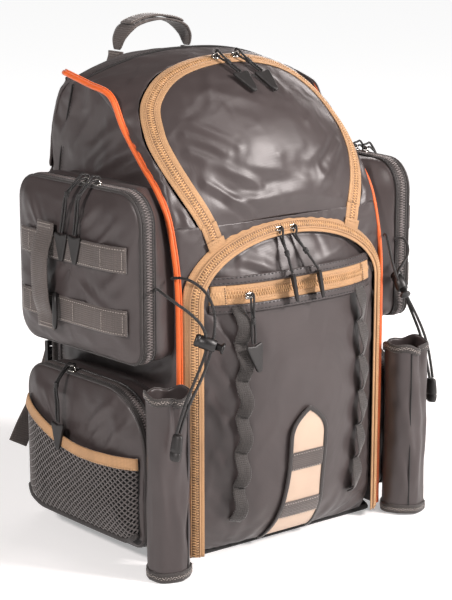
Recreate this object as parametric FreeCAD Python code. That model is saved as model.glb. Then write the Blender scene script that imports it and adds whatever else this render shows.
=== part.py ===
"""Tackle backpack: a soft bag with two front flaps, four zipped side pockets and two rod tubes.

Units are millimetres. +Z is up, -Y is the front of the bag and +X is its right side as seen from the
front. The origin lies on the ground, in the middle of the base. Each sewn panel, tape, strap, slider
and buckle is its own solid, written to parts/NODE.step.
"""

import FreeCAD
import Part
import math
import os

from FreeCAD import Vector

# ---------------------------------------------------------------- driving dimensions
HALF_WIDTH = 120.5        # inner face of a side panel, from the middle of the bag
SIDE_THICK = 2.0          # side panel fabric
SIDE_X = HALF_WIDTH + SIDE_THICK
FRONT_Y = -112.0          # front edge of the side panels
BACK_Y = 105.0            # back face that rests on the wearer
BACK_THICK = 8.0          # padded back panel
BACK_TOP = 350.0          # where the back panel meets the top panel
BASE_THICK = 5.0          # stiffened base
SKIN = 4.0                # front and top panels
GAP = 1.2                 # free gap between the two halves of an opened zip
TOUCH = 0.05              # sewn layers lie this close
SHELF_Z = 286.0           # padded shelf between the two compartments
SHELF_THICK = 6.0
WEBBING = 25.0            # width of the load webbing
WEB_THICK = 1.6

# The bag's outline seen from the side, at its edges and along its middle, from the yoke up and over
# to the back, as (y, z) pairs at matching stations.
SIDE_PROFILE = [(-112, 250), (-111, 290), (-104, 320), (-88, 352), (-68, 378), (-42, 402),
                (-12, 423), (25, 435), (62, 440), (88, 424), (101, 388), (105, BACK_TOP)]
CROWN_PROFILE = [(-113, 250), (-116, 290), (-116.5, 320), (-113, 356), (-100, 394), (-72, 429),
                 (-34, 455), (8, 465), (58, 464), (94, 457), (107, 424), (106, BACK_TOP + 2)]
CROWN_POWER = 2.2         # how square the cross-section of the bag's top is

# Lower flap: straight sides under an elliptical arch. Each outline is (half width, arch height).
ARCH_SPRING_Z = 250.0
ARCH_OUTER = (121.0, 68.0)
ARCH_MIDDLE = (109.0, 60.5)
ARCH_INNER = (100.0, 54.0)
FLAP_BOTTOM_Z = 6.0
FLAP_EDGE_Y = -121.0      # outer face of the flap at its zip
FLAP_HEM_Y = -108.0       # outer face of the flap at its hinge
FLAP_CROWN = 30.0         # how far the stuffed flap bulges beyond its edge

# Upper flap: hinged on a straight line across the yoke, on a plane that leans back.
HINGE_Y, HINGE_Z = -116.5, 320.0
LEAN = math.atan2(148.0, 95.0)
UPPER_OUTLINE = [(97, 0), (111, 34), (118.5, 66), (118, 100), (104, 138), (65, 167), (0, 177)]
TAPE = 9.0                # width of one zip tape
SEAM_Y = 45.0             # seam between the upper gusset and the top panel
UPPER_SLIDER_Y = -22.0

# Rod tubes stand at the two front corners.
TUBE_X, TUBE_Y, TUBE_R, TUBE_WALL, TUBE_TOP = 147.0, -127.0, 21.5, 1.6, 176.0
TUBE_FLOOR = 6.0

# Side pockets are rounded boxes that flare outwards towards the back. corners holds the radii at the
# front bottom, rear bottom, rear top and front top. The fixed gusset ends at rim, where the flap's zip
# band begins, and face is the flap's outer face at its front edge.
UPPER_POCKET = {"y": (-110.0, 70.0), "z": (198.0, 355.0), "corners": (14.0, 24.0, 24.0, 30.0),
                "rim": 154.0, "face": 166.0, "yaw": 4.3, "crown": 10.0}
LOWER_POCKET = {"y": (-105.0, 79.0), "z": (20.0, 167.0), "corners": (14.0, 30.0, 28.0, 58.0),
                "rim": 149.0, "face": 160.0, "yaw": 2.8, "crown": 7.0}
POCKET_WALL = 3.0
FLAP_EDGE = 6.0           # depth of a pocket flap's rounded edge

PIPING_R = 2.2
PIPING_ROUTE = [(68, 446), (28, 438), (-8, 429), (-28, 402), (-57, 372), (-78, 353), (-95, 331),
                (-105, 303), (-111, 267), (-112, 215), (-112.5, 150), (-112, 90), (-112.5, 40), (-112, 9)]

CORD_R = 1.4              # bungee
PULL_CORD_R = 1.1         # cord of a zip pull

X_AXIS, Y_AXIS, Z_AXIS = Vector(1, 0, 0), Vector(0, 1, 0), Vector(0, 0, 1)
ORIGIN = Vector(0, 0, 0)
radii_used = {}


# ---------------------------------------------------------------- helpers
def box(x0, x1, y0, y1, z0, z1):
    return Part.makeBox(x1 - x0, y1 - y0, z1 - z0, Vector(x0, y0, z0))


def mirrored(shape):
    """The same piece on the bag's left side."""
    return shape.mirror(ORIGIN, X_AXIS)


def save(name, *solids):
    shape = solids[0] if len(solids) == 1 else Part.makeCompound(list(solids))
    if shape.ShapeType == "Compound" and len(shape.Solids) == 1:
        shape = shape.Solids[0]
    shape.exportStep("parts/" + name + ".step")
    print(f"{name}: {len(shape.Solids)} solid, {shape.Volume / 1000:.1f} cm3, valid {shape.isValid()}")


def polygon(points):
    return Part.Face(Part.makePolygon([*points, points[0]]))


def curve(points):
    """A smooth curve through the points, with equal parameter steps between them."""
    found = Part.BSplineCurve()
    steps = [i / (len(points) - 1) for i in range(len(points))]
    found.interpolate(Points=points, Parameters=steps)
    return found


def surface(rows):
    """A smooth face through a grid of points."""
    found = Part.BSplineSurface()
    found.interpolate(rows)
    return found.toShape()


def spread(low, high, count):
    return [low + (high - low) * i / (count - 1) for i in range(count)]


def rounded_wire(points, name):
    """Straight runs joined by tangent arcs, each as large as its two runs allow."""
    edges, radii, start = [], [], points[0]
    for before, corner, after in zip(points, points[1:], points[2:]):
        inward, outward = corner - before, after - corner
        shorter = min(inward.Length, outward.Length)
        cut = 0.45 * shorter
        a = corner - inward.normalize() * cut
        b = corner + outward.normalize() * cut
        turn = inward.getAngle(outward)
        radii.append(cut / math.tan(turn / 2))
        toward = ((a + b) * 0.5 - corner).normalize()
        centre_distance = radii[-1] / math.cos(turn / 2)
        middle = corner + toward * (centre_distance - radii[-1])
        edges.append(Part.LineSegment(start, a).toShape())
        edges.append(Part.Arc(a, middle, b).toShape())
        start = b
    edges.append(Part.LineSegment(start, points[-1]).toShape())
    radii_used[name] = [round(r) for r in radii]
    return Part.Wire(edges)


def tube(points, radius, name):
    """A round cord or piping along a route."""
    path = rounded_wire([Vector(p) for p in points], name)
    along = path.Edges[0].tangentAt(path.Edges[0].FirstParameter)
    ring = Part.Wire(Part.Circle(Vector(points[0]), along, radius).toShape())
    solid = path.makePipeShell([ring], True, True)
    expected = math.pi * radius ** 2 * path.Length
    print(f"   {name}: {path.Length:.0f} mm, volume {solid.Volume / expected:.3f} of section x length")
    return solid


def arch_face(outline, low=FLAP_BOTTOM_Z, y=0.0):
    """The lower opening's outline as a face: straight sides under half an ellipse."""
    half, height = outline
    centre = Vector(0, y, ARCH_SPRING_Z)
    ellipse = Part.Ellipse(Vector(half, y, ARCH_SPRING_Z), Vector(0, y, ARCH_SPRING_Z + height), centre)
    arch = Part.Arc(ellipse, 0, math.pi).toShape()
    if arch.valueAt(arch.ParameterRange[0] + 1).z < ARCH_SPRING_Z:
        arch = Part.Arc(ellipse, math.pi, 2 * math.pi).toShape()
    right, left = Vector(half, y, ARCH_SPRING_Z), Vector(-half, y, ARCH_SPRING_Z)
    foot_right, foot_left = Vector(half, y, low), Vector(-half, y, low)
    sides = [Part.LineSegment(foot_right, right).toShape(), arch,
             Part.LineSegment(left, foot_left).toShape(),
             Part.LineSegment(foot_left, foot_right).toShape()]
    return Part.Face(Part.Wire(Part.__sortEdges__(sides)))


def arch_prism(outline, y0, y1, low=FLAP_BOTTOM_Z):
    return arch_face(outline, low, y0).extrude(Vector(0, y1 - y0, 0))


def narrower(outline, by):
    return (outline[0] - by, outline[1] - by)


def arch_top(x, outline=ARCH_INNER):
    """Height of the lower flap's edge above a given x."""
    share = min(1.0, abs(x) / outline[0])
    return ARCH_SPRING_Z + outline[1] * math.sqrt(1 - share ** 2)


def flap_y(x, z):
    """Outer face of the stuffed lower flap."""
    t = (z - FLAP_BOTTOM_Z) / (arch_top(x) - FLAP_BOTTOM_Z)
    t = min(1.0, max(0.0, t))
    edge = FLAP_EDGE_Y + (FLAP_HEM_Y - FLAP_EDGE_Y) * max(0.0, 1 - t / 0.15) ** 2
    along = abs(math.sin(math.pi * t ** 0.9)) ** 0.6
    across = 1 - min(1.0, abs(x) / ARCH_INNER[0]) ** (2.0 + 3.2 * t)
    return edge - FLAP_CROWN * along * across


def draped(x0, x1, z0, z1, lift, thick, columns=5, rows=9):
    """A strip that lies on the lower flap, raised from it by lift(z)."""
    grid = [[Vector(x, flap_y(x, z) - lift(z), z) for z in spread(z0, z1, rows)]
            for x in spread(x0, x1, columns)]
    return surface(grid).extrude(Vector(0, -thick, 0))


# ---------------------------------------------------------------- main shell
def top_skin():
    """One curved sheet from the yoke over the top to the back panel."""
    side = curve([Vector(0, y, z) for y, z in SIDE_PROFILE])
    crown = curve([Vector(0, y, z) for y, z in CROWN_PROFILE])
    grid = []
    for x in spread(-HALF_WIDTH, HALF_WIDTH, 15):
        weight = 1 - (abs(x) / HALF_WIDTH) ** CROWN_POWER
        row = []
        for t in spread(0, 1, 26):
            point = side.value(t) * (1 - weight) + crown.value(t) * weight
            row.append(Vector(x, point.y, point.z))
        grid.append(row)
    sheet = surface(grid)
    inward = -SKIN
    solid = sheet.makeOffsetShape(inward, 0.01, fill=True)
    if solid.BoundBox.ZMax > sheet.BoundBox.ZMax + 1:
        solid = sheet.makeOffsetShape(-inward, 0.01, fill=True)
    return Part.Solid(solid.Shells[0]) if not solid.Solids else solid.Solids[0]


def upper_prism(inset):
    """The upper flap's outline, drawn on its leaning plane and swept through the skin."""
    across, up = X_AXIS, Vector(0, math.cos(LEAN), math.sin(LEAN))
    out = Vector(0, -math.sin(LEAN), math.cos(LEAN))
    hinge = Vector(0, HINGE_Y, HINGE_Z)
    right = []
    for i, (u, v) in enumerate(UPPER_OUTLINE):
        share = i / (len(UPPER_OUTLINE) - 1)
        right.append((u - inset * (1 - share ** 3), v - inset * share ** 2))
    right[-1] = (0.0, UPPER_OUTLINE[-1][1] - inset)
    left = [(-u, v) for u, v in right[-2::-1]]
    reach = 70.0
    points = [hinge + across * u + up * v - out * reach for u, v in right + left]
    top = curve(points).toShape()
    foot_right = points[0] - up * 60
    foot_left = points[-1] - up * 60
    edges = [top, Part.LineSegment(points[-1], foot_left).toShape(),
             Part.LineSegment(foot_left, foot_right).toShape(),
             Part.LineSegment(foot_right, points[0]).toShape()]
    face = Part.Face(Part.Wire(edges))
    return face.extrude(out * (2 * reach))


def make_shell():
    skin = top_skin()
    far = 400.0
    yoke = skin.common(box(-far, far, -far, 0, 0, HINGE_Z - 0.4))
    yoke = yoke.cut(arch_prism(narrower(ARCH_OUTER, -2 * TOUCH), -160, -60, 100))
    upper = skin.common(box(-far, far, -far, far, HINGE_Z, far + 200))
    inner, middle_in = upper_prism(2 * TAPE), upper_prism(TAPE + GAP / 2)
    middle_out, outer = upper_prism(TAPE - GAP / 2), upper_prism(0)
    rest = upper.cut(outer)
    save("front_yoke", yoke)
    save("upper_flap", upper.common(inner))
    save("upper_zip_flap_tape", upper.common(middle_in).cut(inner))
    save("upper_zip_frame_tape", upper.common(outer).cut(middle_out))
    save("top_panel", rest.common(box(-far, far, SEAM_Y, far, 0, far + 200)))
    save("upper_gusset", rest.common(box(-far, far, -far, SEAM_Y, 0, far + 200)))
    save("base_panel", box(-SIDE_X, SIDE_X, FLAP_HEM_Y + 1, BACK_Y, 0, BASE_THICK))
    save("back_panel", box(-HALF_WIDTH, HALF_WIDTH, BACK_Y - BACK_THICK, BACK_Y, BASE_THICK, BACK_TOP - 5))
    save("divider_shelf", box(-HALF_WIDTH, HALF_WIDTH, FRONT_Y + 7, BACK_Y - BACK_THICK,
                              SHELF_Z, SHELF_Z + SHELF_THICK))
    save("side_panels", side_panel(), mirrored(side_panel()))
    return skin


def side_panel():
    profile = curve([Vector(HALF_WIDTH, y, z) for y, z in SIDE_PROFILE]).toShape()
    front_foot, back_foot = Vector(HALF_WIDTH, FRONT_Y, BASE_THICK), Vector(HALF_WIDTH, BACK_Y, BASE_THICK)
    edges = [profile, Part.LineSegment(Vector(HALF_WIDTH, BACK_Y, BACK_TOP), back_foot).toShape(),
             Part.LineSegment(back_foot, front_foot).toShape(),
             Part.LineSegment(front_foot, Vector(HALF_WIDTH, *SIDE_PROFILE[0])).toShape()]
    return Part.Face(Part.Wire(edges)).extrude(Vector(SIDE_THICK, 0, 0))


# ---------------------------------------------------------------- lower flap
def make_lower_flap():
    columns = [ARCH_INNER[0] * math.sin(a) for a in spread(-math.pi / 2, math.pi / 2, 19)]
    rows = [0.5 - 0.5 * math.cos(a) for a in spread(0, math.pi, 23)]
    grid = []
    for x in columns:
        heights = [FLAP_BOTTOM_Z + t * (arch_top(x) - FLAP_BOTTOM_Z) for t in rows]
        grid.append([Vector(x, flap_y(x, z), z) for z in heights])
    save("lower_flap", surface(grid).extrude(Vector(0, SKIN, 0)))
    tape_back = FLAP_EDGE_Y + SKIN
    tape = arch_prism(narrower(ARCH_MIDDLE, GAP / 2), FLAP_EDGE_Y, tape_back, 30)
    save("lower_zip_flap_tape", tape.cut(arch_prism(narrower(ARCH_INNER, -TOUCH), -200, 0, 0)))
    frame = arch_prism(ARCH_OUTER, tape_back, FRONT_Y - 0.4, BASE_THICK)
    save("lower_zip_frame_tape", frame.cut(arch_prism(narrower(ARCH_MIDDLE, -GAP / 2), -200, 0, 0)))


POCKET_ZIP_Z, POCKET_ZIP_X = 257.0, 91.0


def make_flap_trim():
    half = 9.0
    flat = lambda z: TOUCH
    save("front_pocket_zip", draped(-POCKET_ZIP_X, POCKET_ZIP_X, POCKET_ZIP_Z - half, POCKET_ZIP_Z + half,
                                    flat, 1.2, 17, 4))
    patch = draped(-29, 29, 7, 141, flat, 1.5, 7, 14)
    save("centre_patch", patch.common(patch_outline()))
    low, high, loops, bow = 40.0, 245.0, 6, 3.6
    wave = lambda z: TOUCH + bow * abs(math.sin(math.pi * loops * (z - low) / (high - low)))
    chains = [draped(x - 8, x + 8, low, high, wave, WEB_THICK, 4, 12 * loops + 1) for x in (-71, 71)]
    save("daisy_chains", *chains)


def patch_outline():
    """Pointed arch of the tan panel, wider at its foot, swept through the flap."""
    half, foot, shoulder, tip, y = 21.0, 28.0, 112.0, 141.0, -170.0
    side = [(foot, 0), (half + 2, 35), (half, shoulder), (half * 0.72, shoulder + 19), (0, tip)]
    right = curve([Vector(x, y, z) for x, z in side]).toShape()
    left = curve([Vector(-x, y, z) for x, z in side]).toShape()
    base = Part.LineSegment(Vector(foot, y, 0), Vector(-foot, y, 0)).toShape()
    return Part.Face(Part.Wire(Part.__sortEdges__([right, left, base]))).extrude(Vector(0, 100, 0))


# ---------------------------------------------------------------- side pockets
def rounded_outline(x, pocket, inset):
    """A pocket's rounded outline, drawn at x and drawn in by inset."""
    (y0, y1), (z0, z1) = pocket["y"], pocket["z"]
    y0, y1, z0, z1 = y0 + inset, y1 - inset, z0 + inset, z1 - inset
    edges, ends = [], []
    for (y, z, dy, dz), corner in zip([(y0, z0, 1, 1), (y1, z0, -1, 1), (y1, z1, -1, -1), (y0, z1, 1, -1)],
                                      pocket["corners"]):
        radius = max(3.0, corner - inset)
        on_side, on_level = Vector(x, y, z + dz * radius), Vector(x, y + dy * radius, z)
        bend = radius * (1 - math.sqrt(0.5))
        middle = Vector(x, y + dy * bend, z + dz * bend)
        first, last = (on_side, on_level) if dy * dz > 0 else (on_level, on_side)
        edges.append(Part.Arc(first, middle, last).toShape())
        ends.append((first, last))
    for i in range(4):
        edges.append(Part.LineSegment(ends[i][1], ends[(i + 1) % 4][0]).toShape())
    return Part.Wire(Part.__sortEdges__(edges))


def prism(x0, x1, pocket, inset):
    return Part.Face(rounded_outline(x0, pocket, inset)).extrude(Vector(x1 - x0, 0, 0))


def ring(x0, x1, pocket):
    """A stretch of the pocket's wall."""
    return prism(x0, x1, pocket, 0).cut(prism(x0 - 1, x1 + 1, pocket, POCKET_WALL))


def flared(shape, pocket):
    """Turns a right-hand piece about the pocket's front outer corner."""
    turned = shape.copy()
    turned.rotate(Vector(pocket["face"], pocket["y"][0], 0), Z_AXIS, -pocket["yaw"])
    return turned


def pocket_gusset(pocket):
    wall = flared(ring(SIDE_X - 25, pocket["rim"], pocket), pocket)
    return wall.common(box(SIDE_X + TOUCH, 300, -300, 300, 0, 500)).cut(piping(PIPING_R + 0.4))


def piping(radius):
    """Cord sewn along the side seam, or the room it needs in a pocket's gusset."""
    return tube([(SIDE_X + PIPING_R + TOUCH, y, z) for y, z in PIPING_ROUTE], radius, "piping")


def pocket_flap(pocket):
    """The padded outer panel and the zip band behind its edge."""
    start, face, crown = pocket["rim"] + 0.5, pocket["face"], pocket["crown"]
    back = face - FLAP_EDGE
    band = ring(start, back - TOUCH, pocket)
    stations = [(back, 0), (face, 4), (face + crown * 0.7, 15), (face + crown, 34)]
    panel = Part.makeLoft([rounded_outline(x, pocket, inset) for x, inset in stations], True, True)
    return flared(panel, pocket), flared(band, pocket)


MOLLE_ROWS = (226.0, 284.0)
MOLLE_INSET = 34.0        # from a pocket's front and rear edges to the ends of its webbing rows
STRAP_Y = 9.0             # centre of the vertical loop strap on an upper pocket
STRAP_Z = (232.0, 306.0)  # its two sewn ends
STRAP_STAND = 8.0
MESH_TOP, MESH_STAND, MESH_INSET = 112.0, 7.5, 18.0
MESH_THICK, MESH_HEM = 1.5, 3.0


def molle_webbing():
    """Two rows of webbing and a vertical loop strap that stands off them."""
    face = UPPER_POCKET["face"] + UPPER_POCKET["crown"] + TOUCH
    y0, y1 = UPPER_POCKET["y"][0] + MOLLE_INSET, UPPER_POCKET["y"][1] - MOLLE_INSET
    rows = [box(face, face + WEB_THICK, y0, y1, z, z + WEBBING - 1) for z in MOLLE_ROWS]
    back = face + WEB_THICK + TOUCH
    low, high = STRAP_Z
    outside = [(back, low), (back, low + 8), (back + STRAP_STAND, low + 22), (back + STRAP_STAND, high - 22),
               (back, high - 8), (back, high)]
    inner = [Vector(x, STRAP_Y - WEBBING / 2, z) for x, z in outside]
    outer = [point + Vector(WEB_THICK, 0, 0) for point in reversed(inner)]
    rows.append(polygon(inner + outer).extrude(Vector(0, WEBBING, 0)))
    return [flared(piece, UPPER_POCKET) for piece in rows]


def mesh_pocket():
    """Open-topped stretch pocket over the lower part of a lower pocket's flap."""
    face = LOWER_POCKET["face"] + LOWER_POCKET["crown"] + TOUCH
    (y0, y1), z0 = LOWER_POCKET["y"], LOWER_POCKET["z"][0]
    y0, y1, z0 = y0 + MESH_INSET, y1 - MESH_INSET, z0 + MESH_INSET
    outer = box(face, face + MESH_STAND, y0, y1, z0, MESH_TOP)
    inner = box(face - 1, face + MESH_STAND - MESH_THICK, y0 + MESH_HEM, y1 - MESH_HEM, z0 + MESH_HEM,
                MESH_TOP + 1)
    return flared(outer.cut(inner), LOWER_POCKET)


def make_pockets():
    for level, pocket in (("upper", UPPER_POCKET), ("lower", LOWER_POCKET)):
        gusset = pocket_gusset(pocket)
        panel, band = pocket_flap(pocket)
        save(f"{level}_pocket_right", gusset)
        save(f"{level}_pocket_left", mirrored(gusset))
        save(f"{level}_pocket_flap_right", panel, band)
        save(f"{level}_pocket_flap_left", mirrored(panel), mirrored(band))
    webbing = molle_webbing()
    save("molle_webbing_right", *webbing)
    save("molle_webbing_left", *[mirrored(piece) for piece in webbing])
    save("mesh_pocket_right", mesh_pocket())
    save("mesh_pocket_left", mirrored(mesh_pocket()))


# ---------------------------------------------------------------- rod tubes, piping and handle
def rod_tube(sign):
    centre = Vector(sign * TUBE_X, TUBE_Y, 0)
    wall = Part.makeCylinder(TUBE_R, TUBE_TOP, centre)
    hollow = Part.makeCylinder(TUBE_R - TUBE_WALL, TUBE_TOP, centre + Z_AXIS * TUBE_FLOOR)
    return wall.cut(hollow)


HANDLE_Y, HANDLE_FOOT_Z, HANDLE_HALF, HANDLE_RISE, HANDLE_THICK = 97.0, 461.0, 46.0, 33.0, 3.0


def carry_handle():
    """Webbing arch; its feet narrow to the line it swings about."""
    def bow(half, rise, foot):
        top = Vector(0, 0, HANDLE_FOOT_Z + rise)
        shoulder = Vector(half * 0.72, 0, HANDLE_FOOT_Z + rise * 0.72)
        return curve([Vector(-half, 0, foot), Vector(-shoulder.x, 0, shoulder.z), top,
                      shoulder, Vector(half, 0, foot)]).toShape()
    outer = bow(HANDLE_HALF, HANDLE_RISE, HANDLE_FOOT_Z)
    inner = bow(HANDLE_HALF - HANDLE_THICK, HANDLE_RISE - HANDLE_THICK, HANDLE_FOOT_Z)
    feet = [Part.LineSegment(Vector(s * HANDLE_HALF, 0, HANDLE_FOOT_Z),
                             Vector(s * (HANDLE_HALF - HANDLE_THICK), 0, HANDLE_FOOT_Z)).toShape()
            for s in (-1, 1)]
    face = Part.Face(Part.Wire(Part.__sortEdges__([outer, inner, *feet])))
    face.translate(Vector(0, HANDLE_Y - WEBBING / 2, 0))
    strap = face.extrude(Vector(0, WEBBING, 0))
    half, narrow, rise = WEBBING / 2, 4.0, 10.0
    side = [(-narrow, -1), (-half, rise), (-half, 60), (half, 60), (half, rise), (narrow, -1)]
    outline = polygon([Vector(-90, HANDLE_Y + y, HANDLE_FOOT_Z + z) for y, z in side])
    return strap.common(outline.extrude(Vector(180, 0, 0)))


# ---------------------------------------------------------------- shoulder straps
STRAP_OUTER = [(110, 402), (129, 390), (143, 350), (147, 290), (142, 225), (131, 168)]
STRAP_INNER = [(110, 391), (120, 380), (131, 346), (135, 290), (130, 226), (119, 168)]
STRAP_CENTRES = [(45, 410, 32), (55, 350, 32), (67, 290, 30), (83, 230, 26), (100, 160, 21)]


def strip_prism(centres, low_y=60.0, high_y=200.0):
    """A curved strip drawn in the XZ plane from (x, z, half width) stations, swept along Y."""
    right = curve([Vector(x + half, low_y, z) for x, z, half in centres]).toShape()
    left = curve([Vector(x - half, low_y, z) for x, z, half in centres]).toShape()
    ends = [Part.LineSegment(Vector(x - half, low_y, z), Vector(x + half, low_y, z)).toShape()
            for x, z, half in (centres[0], centres[-1])]
    face = Part.Face(Part.Wire(Part.__sortEdges__([right, left, *ends])))
    return face.extrude(Vector(0, high_y - low_y, 0))


def band_prism(outer, inner, x0, x1):
    """A curved band drawn in the YZ plane, swept along X."""
    sides = [curve([Vector(x0, y, z) for y, z in side]).toShape() for side in (outer, inner)]
    ends = [Part.LineSegment(Vector(x0, *outer[i]), Vector(x0, *inner[i])).toShape() for i in (0, -1)]
    return Part.Face(Part.Wire(Part.__sortEdges__([*sides, *ends]))).extrude(Vector(x1 - x0, 0, 0))


def shoulder_strap():
    band = band_prism(STRAP_OUTER, STRAP_INNER, 5, 140)
    return band.common(strip_prism(STRAP_CENTRES))


def shifted(points, dy):
    return [(y + dy, z) for y, z in points]


def strap_webbing():
    """Adjusting strap from the ladder lock to the bag's foot, and its loose tail."""
    half = WEBBING / 2
    lower = [(127, 144), (135, 112), (138, 78), (128, 46), (107, 30)]
    anchor = band_prism(shifted(lower, WEB_THICK), lower, 60, 200)
    anchor = anchor.common(strip_prism([(103, 150, half), (112, 110, half), (119, 75, half),
                                        (116, 22, half)]))
    tail_line = [(131, 144), (141, 108), (144, 58)]
    tail = band_prism(shifted(tail_line, WEB_THICK), tail_line, 60, 220)
    tail = tail.common(strip_prism([(108, 150, half), (128, 110, half), (141, 58, half)]))
    return [anchor, tail]


def ladder_lock():
    """Slotted buckle under a shoulder strap's pad."""
    x, y, low, high = 101.0, 122.0, 145.0, 167.5
    plate = box(x - 16, x + 16, y, y + 5, low, high)
    for z in (low + 4.0, low + 13.0):
        plate = plate.cut(box(x - 13, x + 13, y - 5, y + 10, z, z + 4.5))
    return plate


# ---------------------------------------------------------------- bungees and their cord locks
BARREL_R, BARREL_LONG, BORE_R = 6.0, 20.0, 4.2
BUTTON_TRAVEL, STEM_R, CAP_R, CAP_THICK = 4.0, 3.4, 5.4, 3.0
CORD_SLACK = 0.35                     # room around a strand in its hole
STEM_IN, STEM_OUT = 11.0, 5.0         # the button's stem inside and outside the barrel
LOCKS = {
    "left": {"centre": Vector(-131.5, -163, 227), "axis": Vector(0.70, -0.64, -0.31)},
    "right": {"centre": Vector(141, -122, 238), "axis": Vector(-0.15, -0.72, -0.68)},
}
# Both strands of a bungee leave tabs on the pocket's gusset, hang in front of it, go through the
# lock and end in a moulded cord end.
STRANDS = {
    "left": [
        [(-130, -110.7, 276), (-128.5, -121, 279), (-124, -135, 277), (-119.5, -150, 268.5),
         (-119.5, -161, 254), (-124.2, -167.5, 239), (-127, -167.1, 225), (-130, -165.2, 210),
         (-135.5, -162, 193.5), (-143.5, -159, 177), (-150.5, -157, 161), (-155, -156, 146)],
        [(-146, -109.5, 268), (-152, -118, 271.5), (-155.5, -131, 270), (-152, -145, 263.5),
         (-143, -156, 254.5), (-134, -163.5, 242.5), (-130, -164.4, 226.3), (-133.2, -162.2, 211.5),
         (-139, -159.3, 195.5), (-147, -157.5, 178.5), (-154, -156.6, 161.5), (-159, -156, 146)],
    ],
    "right": [
        [(129, -111, 284), (126, -117, 288), (122.5, -124, 283), (123, -127.5, 270), (127.5, -127.5, 256),
         (134, -126, 243), (140.7, -123.5, 236.6), (148, -120.5, 230.5), (156, -121, 216), (165.5, -124, 198),
         (173.5, -127.5, 178), (177.5, -131, 156.5), (179.8, -133, 135)],
        [(145, -109.8, 278), (150.5, -114, 281), (153.5, -119.5, 275), (151.5, -123.5, 265),
         (143, -125, 256.5), (135.5, -123.5, 247), (141.3, -120.5, 239.4), (149, -117.6, 233.5),
         (154.5, -117.5, 219), (162, -120.3, 201), (169.8, -124, 180.5), (173.2, -129.2, 157.5),
         (175.8, -133, 135)],
    ],
}
CORD_ENDS = {
    "left": (Vector(-157, -156, 146), Vector(-4, 0, -24)),
    "right": (Vector(177.8, -133, 135), Vector(1, 0, -24)),
}


def lock_barrel(lock, holes):
    """Barrel with cross holes for the two strands and a blind bore for the button."""
    axis = Vector(lock["axis"]).normalize()
    start = lock["centre"] - axis * (BARREL_LONG / 2)
    barrel = Part.makeCylinder(BARREL_R, BARREL_LONG, start, axis)
    barrel = barrel.cut(Part.makeCylinder(BORE_R, BARREL_LONG, start + axis * 5, axis))
    for hole in holes:
        barrel = barrel.cut(hole)
    return largest(barrel)


def lock_button(lock, holes):
    """Sprung plunger with its round cap, slotted for the strands over its travel."""
    axis = Vector(lock["axis"]).normalize()
    end = lock["centre"] + axis * (BARREL_LONG / 2)
    cap = Part.makeCylinder(CAP_R, CAP_THICK, end + axis * (BUTTON_TRAVEL + 0.8), axis)
    button = cap.fuse(Part.makeCylinder(STEM_R, STEM_IN + STEM_OUT, end - axis * STEM_IN, axis))
    for hole in holes:
        for pressed in (0.0, 1.5, 3.0):
            slot = hole.copy()
            slot.translate(axis * pressed)
            button = button.cut(slot)
    return largest(button.removeSplitter())


def largest(shape):
    return max(shape.Solids, key=lambda solid: solid.Volume)


def cord_end(side):
    top, along = CORD_ENDS[side]
    direction = Vector(along).normalize()
    widths = [(0.0, 5.2, 3.4), (0.55, 6.2, 4.0), (1.0, 4.6, 3.0)]      # share, half width, half depth
    sections = []
    for share, half_wide, half_deep in widths:
        at = top + along * share
        ring = Part.Ellipse(at + X_AXIS * half_wide, at + Y_AXIS * half_deep, at).toShape()
        sections.append(Part.Wire(ring))
    solid = Part.makeLoft(sections, True, False)
    solid.translate(direction * 0.8)
    return solid


def make_bungees():
    for side, lock in LOCKS.items():
        cords = [tube(route, CORD_R, f"bungee_{side}_{i}") for i, route in enumerate(STRANDS[side])]
        save(f"bungee_{side}", *cords)
        holes = [tube(route, CORD_R + CORD_SLACK, f"hole_{side}_{i}")
                 for i, route in enumerate(STRANDS[side])]
        save(f"cord_lock_{side}", lock_barrel(lock, holes))
        save(f"lock_button_{side}", lock_button(lock, holes))
        save(f"cord_end_{side}", cord_end(side))


# ---------------------------------------------------------------- zip sliders and pulls
SLIDER_LONG, SLIDER_WIDE, SLIDER_THICK, SLIDER_LIFT = 9.0, 8.0, 2.4, 0.3
BAIL_R, BAIL_WIRE = 4.2, 0.7
BAIL_OUT = SLIDER_THICK + BAIL_R      # the bail's far wire above the zip
PULL_TAG = 27.0           # length of the moulded tag
TAG_WIDE, TAG_NARROW, TAG_THICK = 19.0, 5.0, 3.2


def slider(at, along, out):
    """Zip slider: a plate and the wire bail over it, at a point on the zip.

    along is the way the zip runs and out is away from the bag."""
    along, out = Vector(along).normalize(), Vector(out).normalize()
    across = out.cross(along)
    corner = Vector(-SLIDER_LONG / 2, -SLIDER_WIDE / 2, SLIDER_LIFT)
    plate = Part.makeBox(SLIDER_LONG, SLIDER_WIDE, SLIDER_THICK, corner)
    plate = plate.makeFillet(1.0, [edge for edge in plate.Edges if abs(edge.tangentAt(0).z) > 0.9])
    bail = Part.makeTorus(BAIL_R, BAIL_WIRE, Vector(0, 0, SLIDER_THICK), Y_AXIS)
    bail = bail.common(box(-9, 9, -9, 9, SLIDER_THICK - 0.4, 20))
    solid = plate.fuse(bail).removeSplitter()
    solid.Placement = FreeCAD.Placement(FreeCAD.Matrix(
        along.x, across.x, out.x, at.x, along.y, across.y, out.y, at.y,
        along.z, across.z, out.z, at.z, 0, 0, 0, 1))
    return solid


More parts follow.
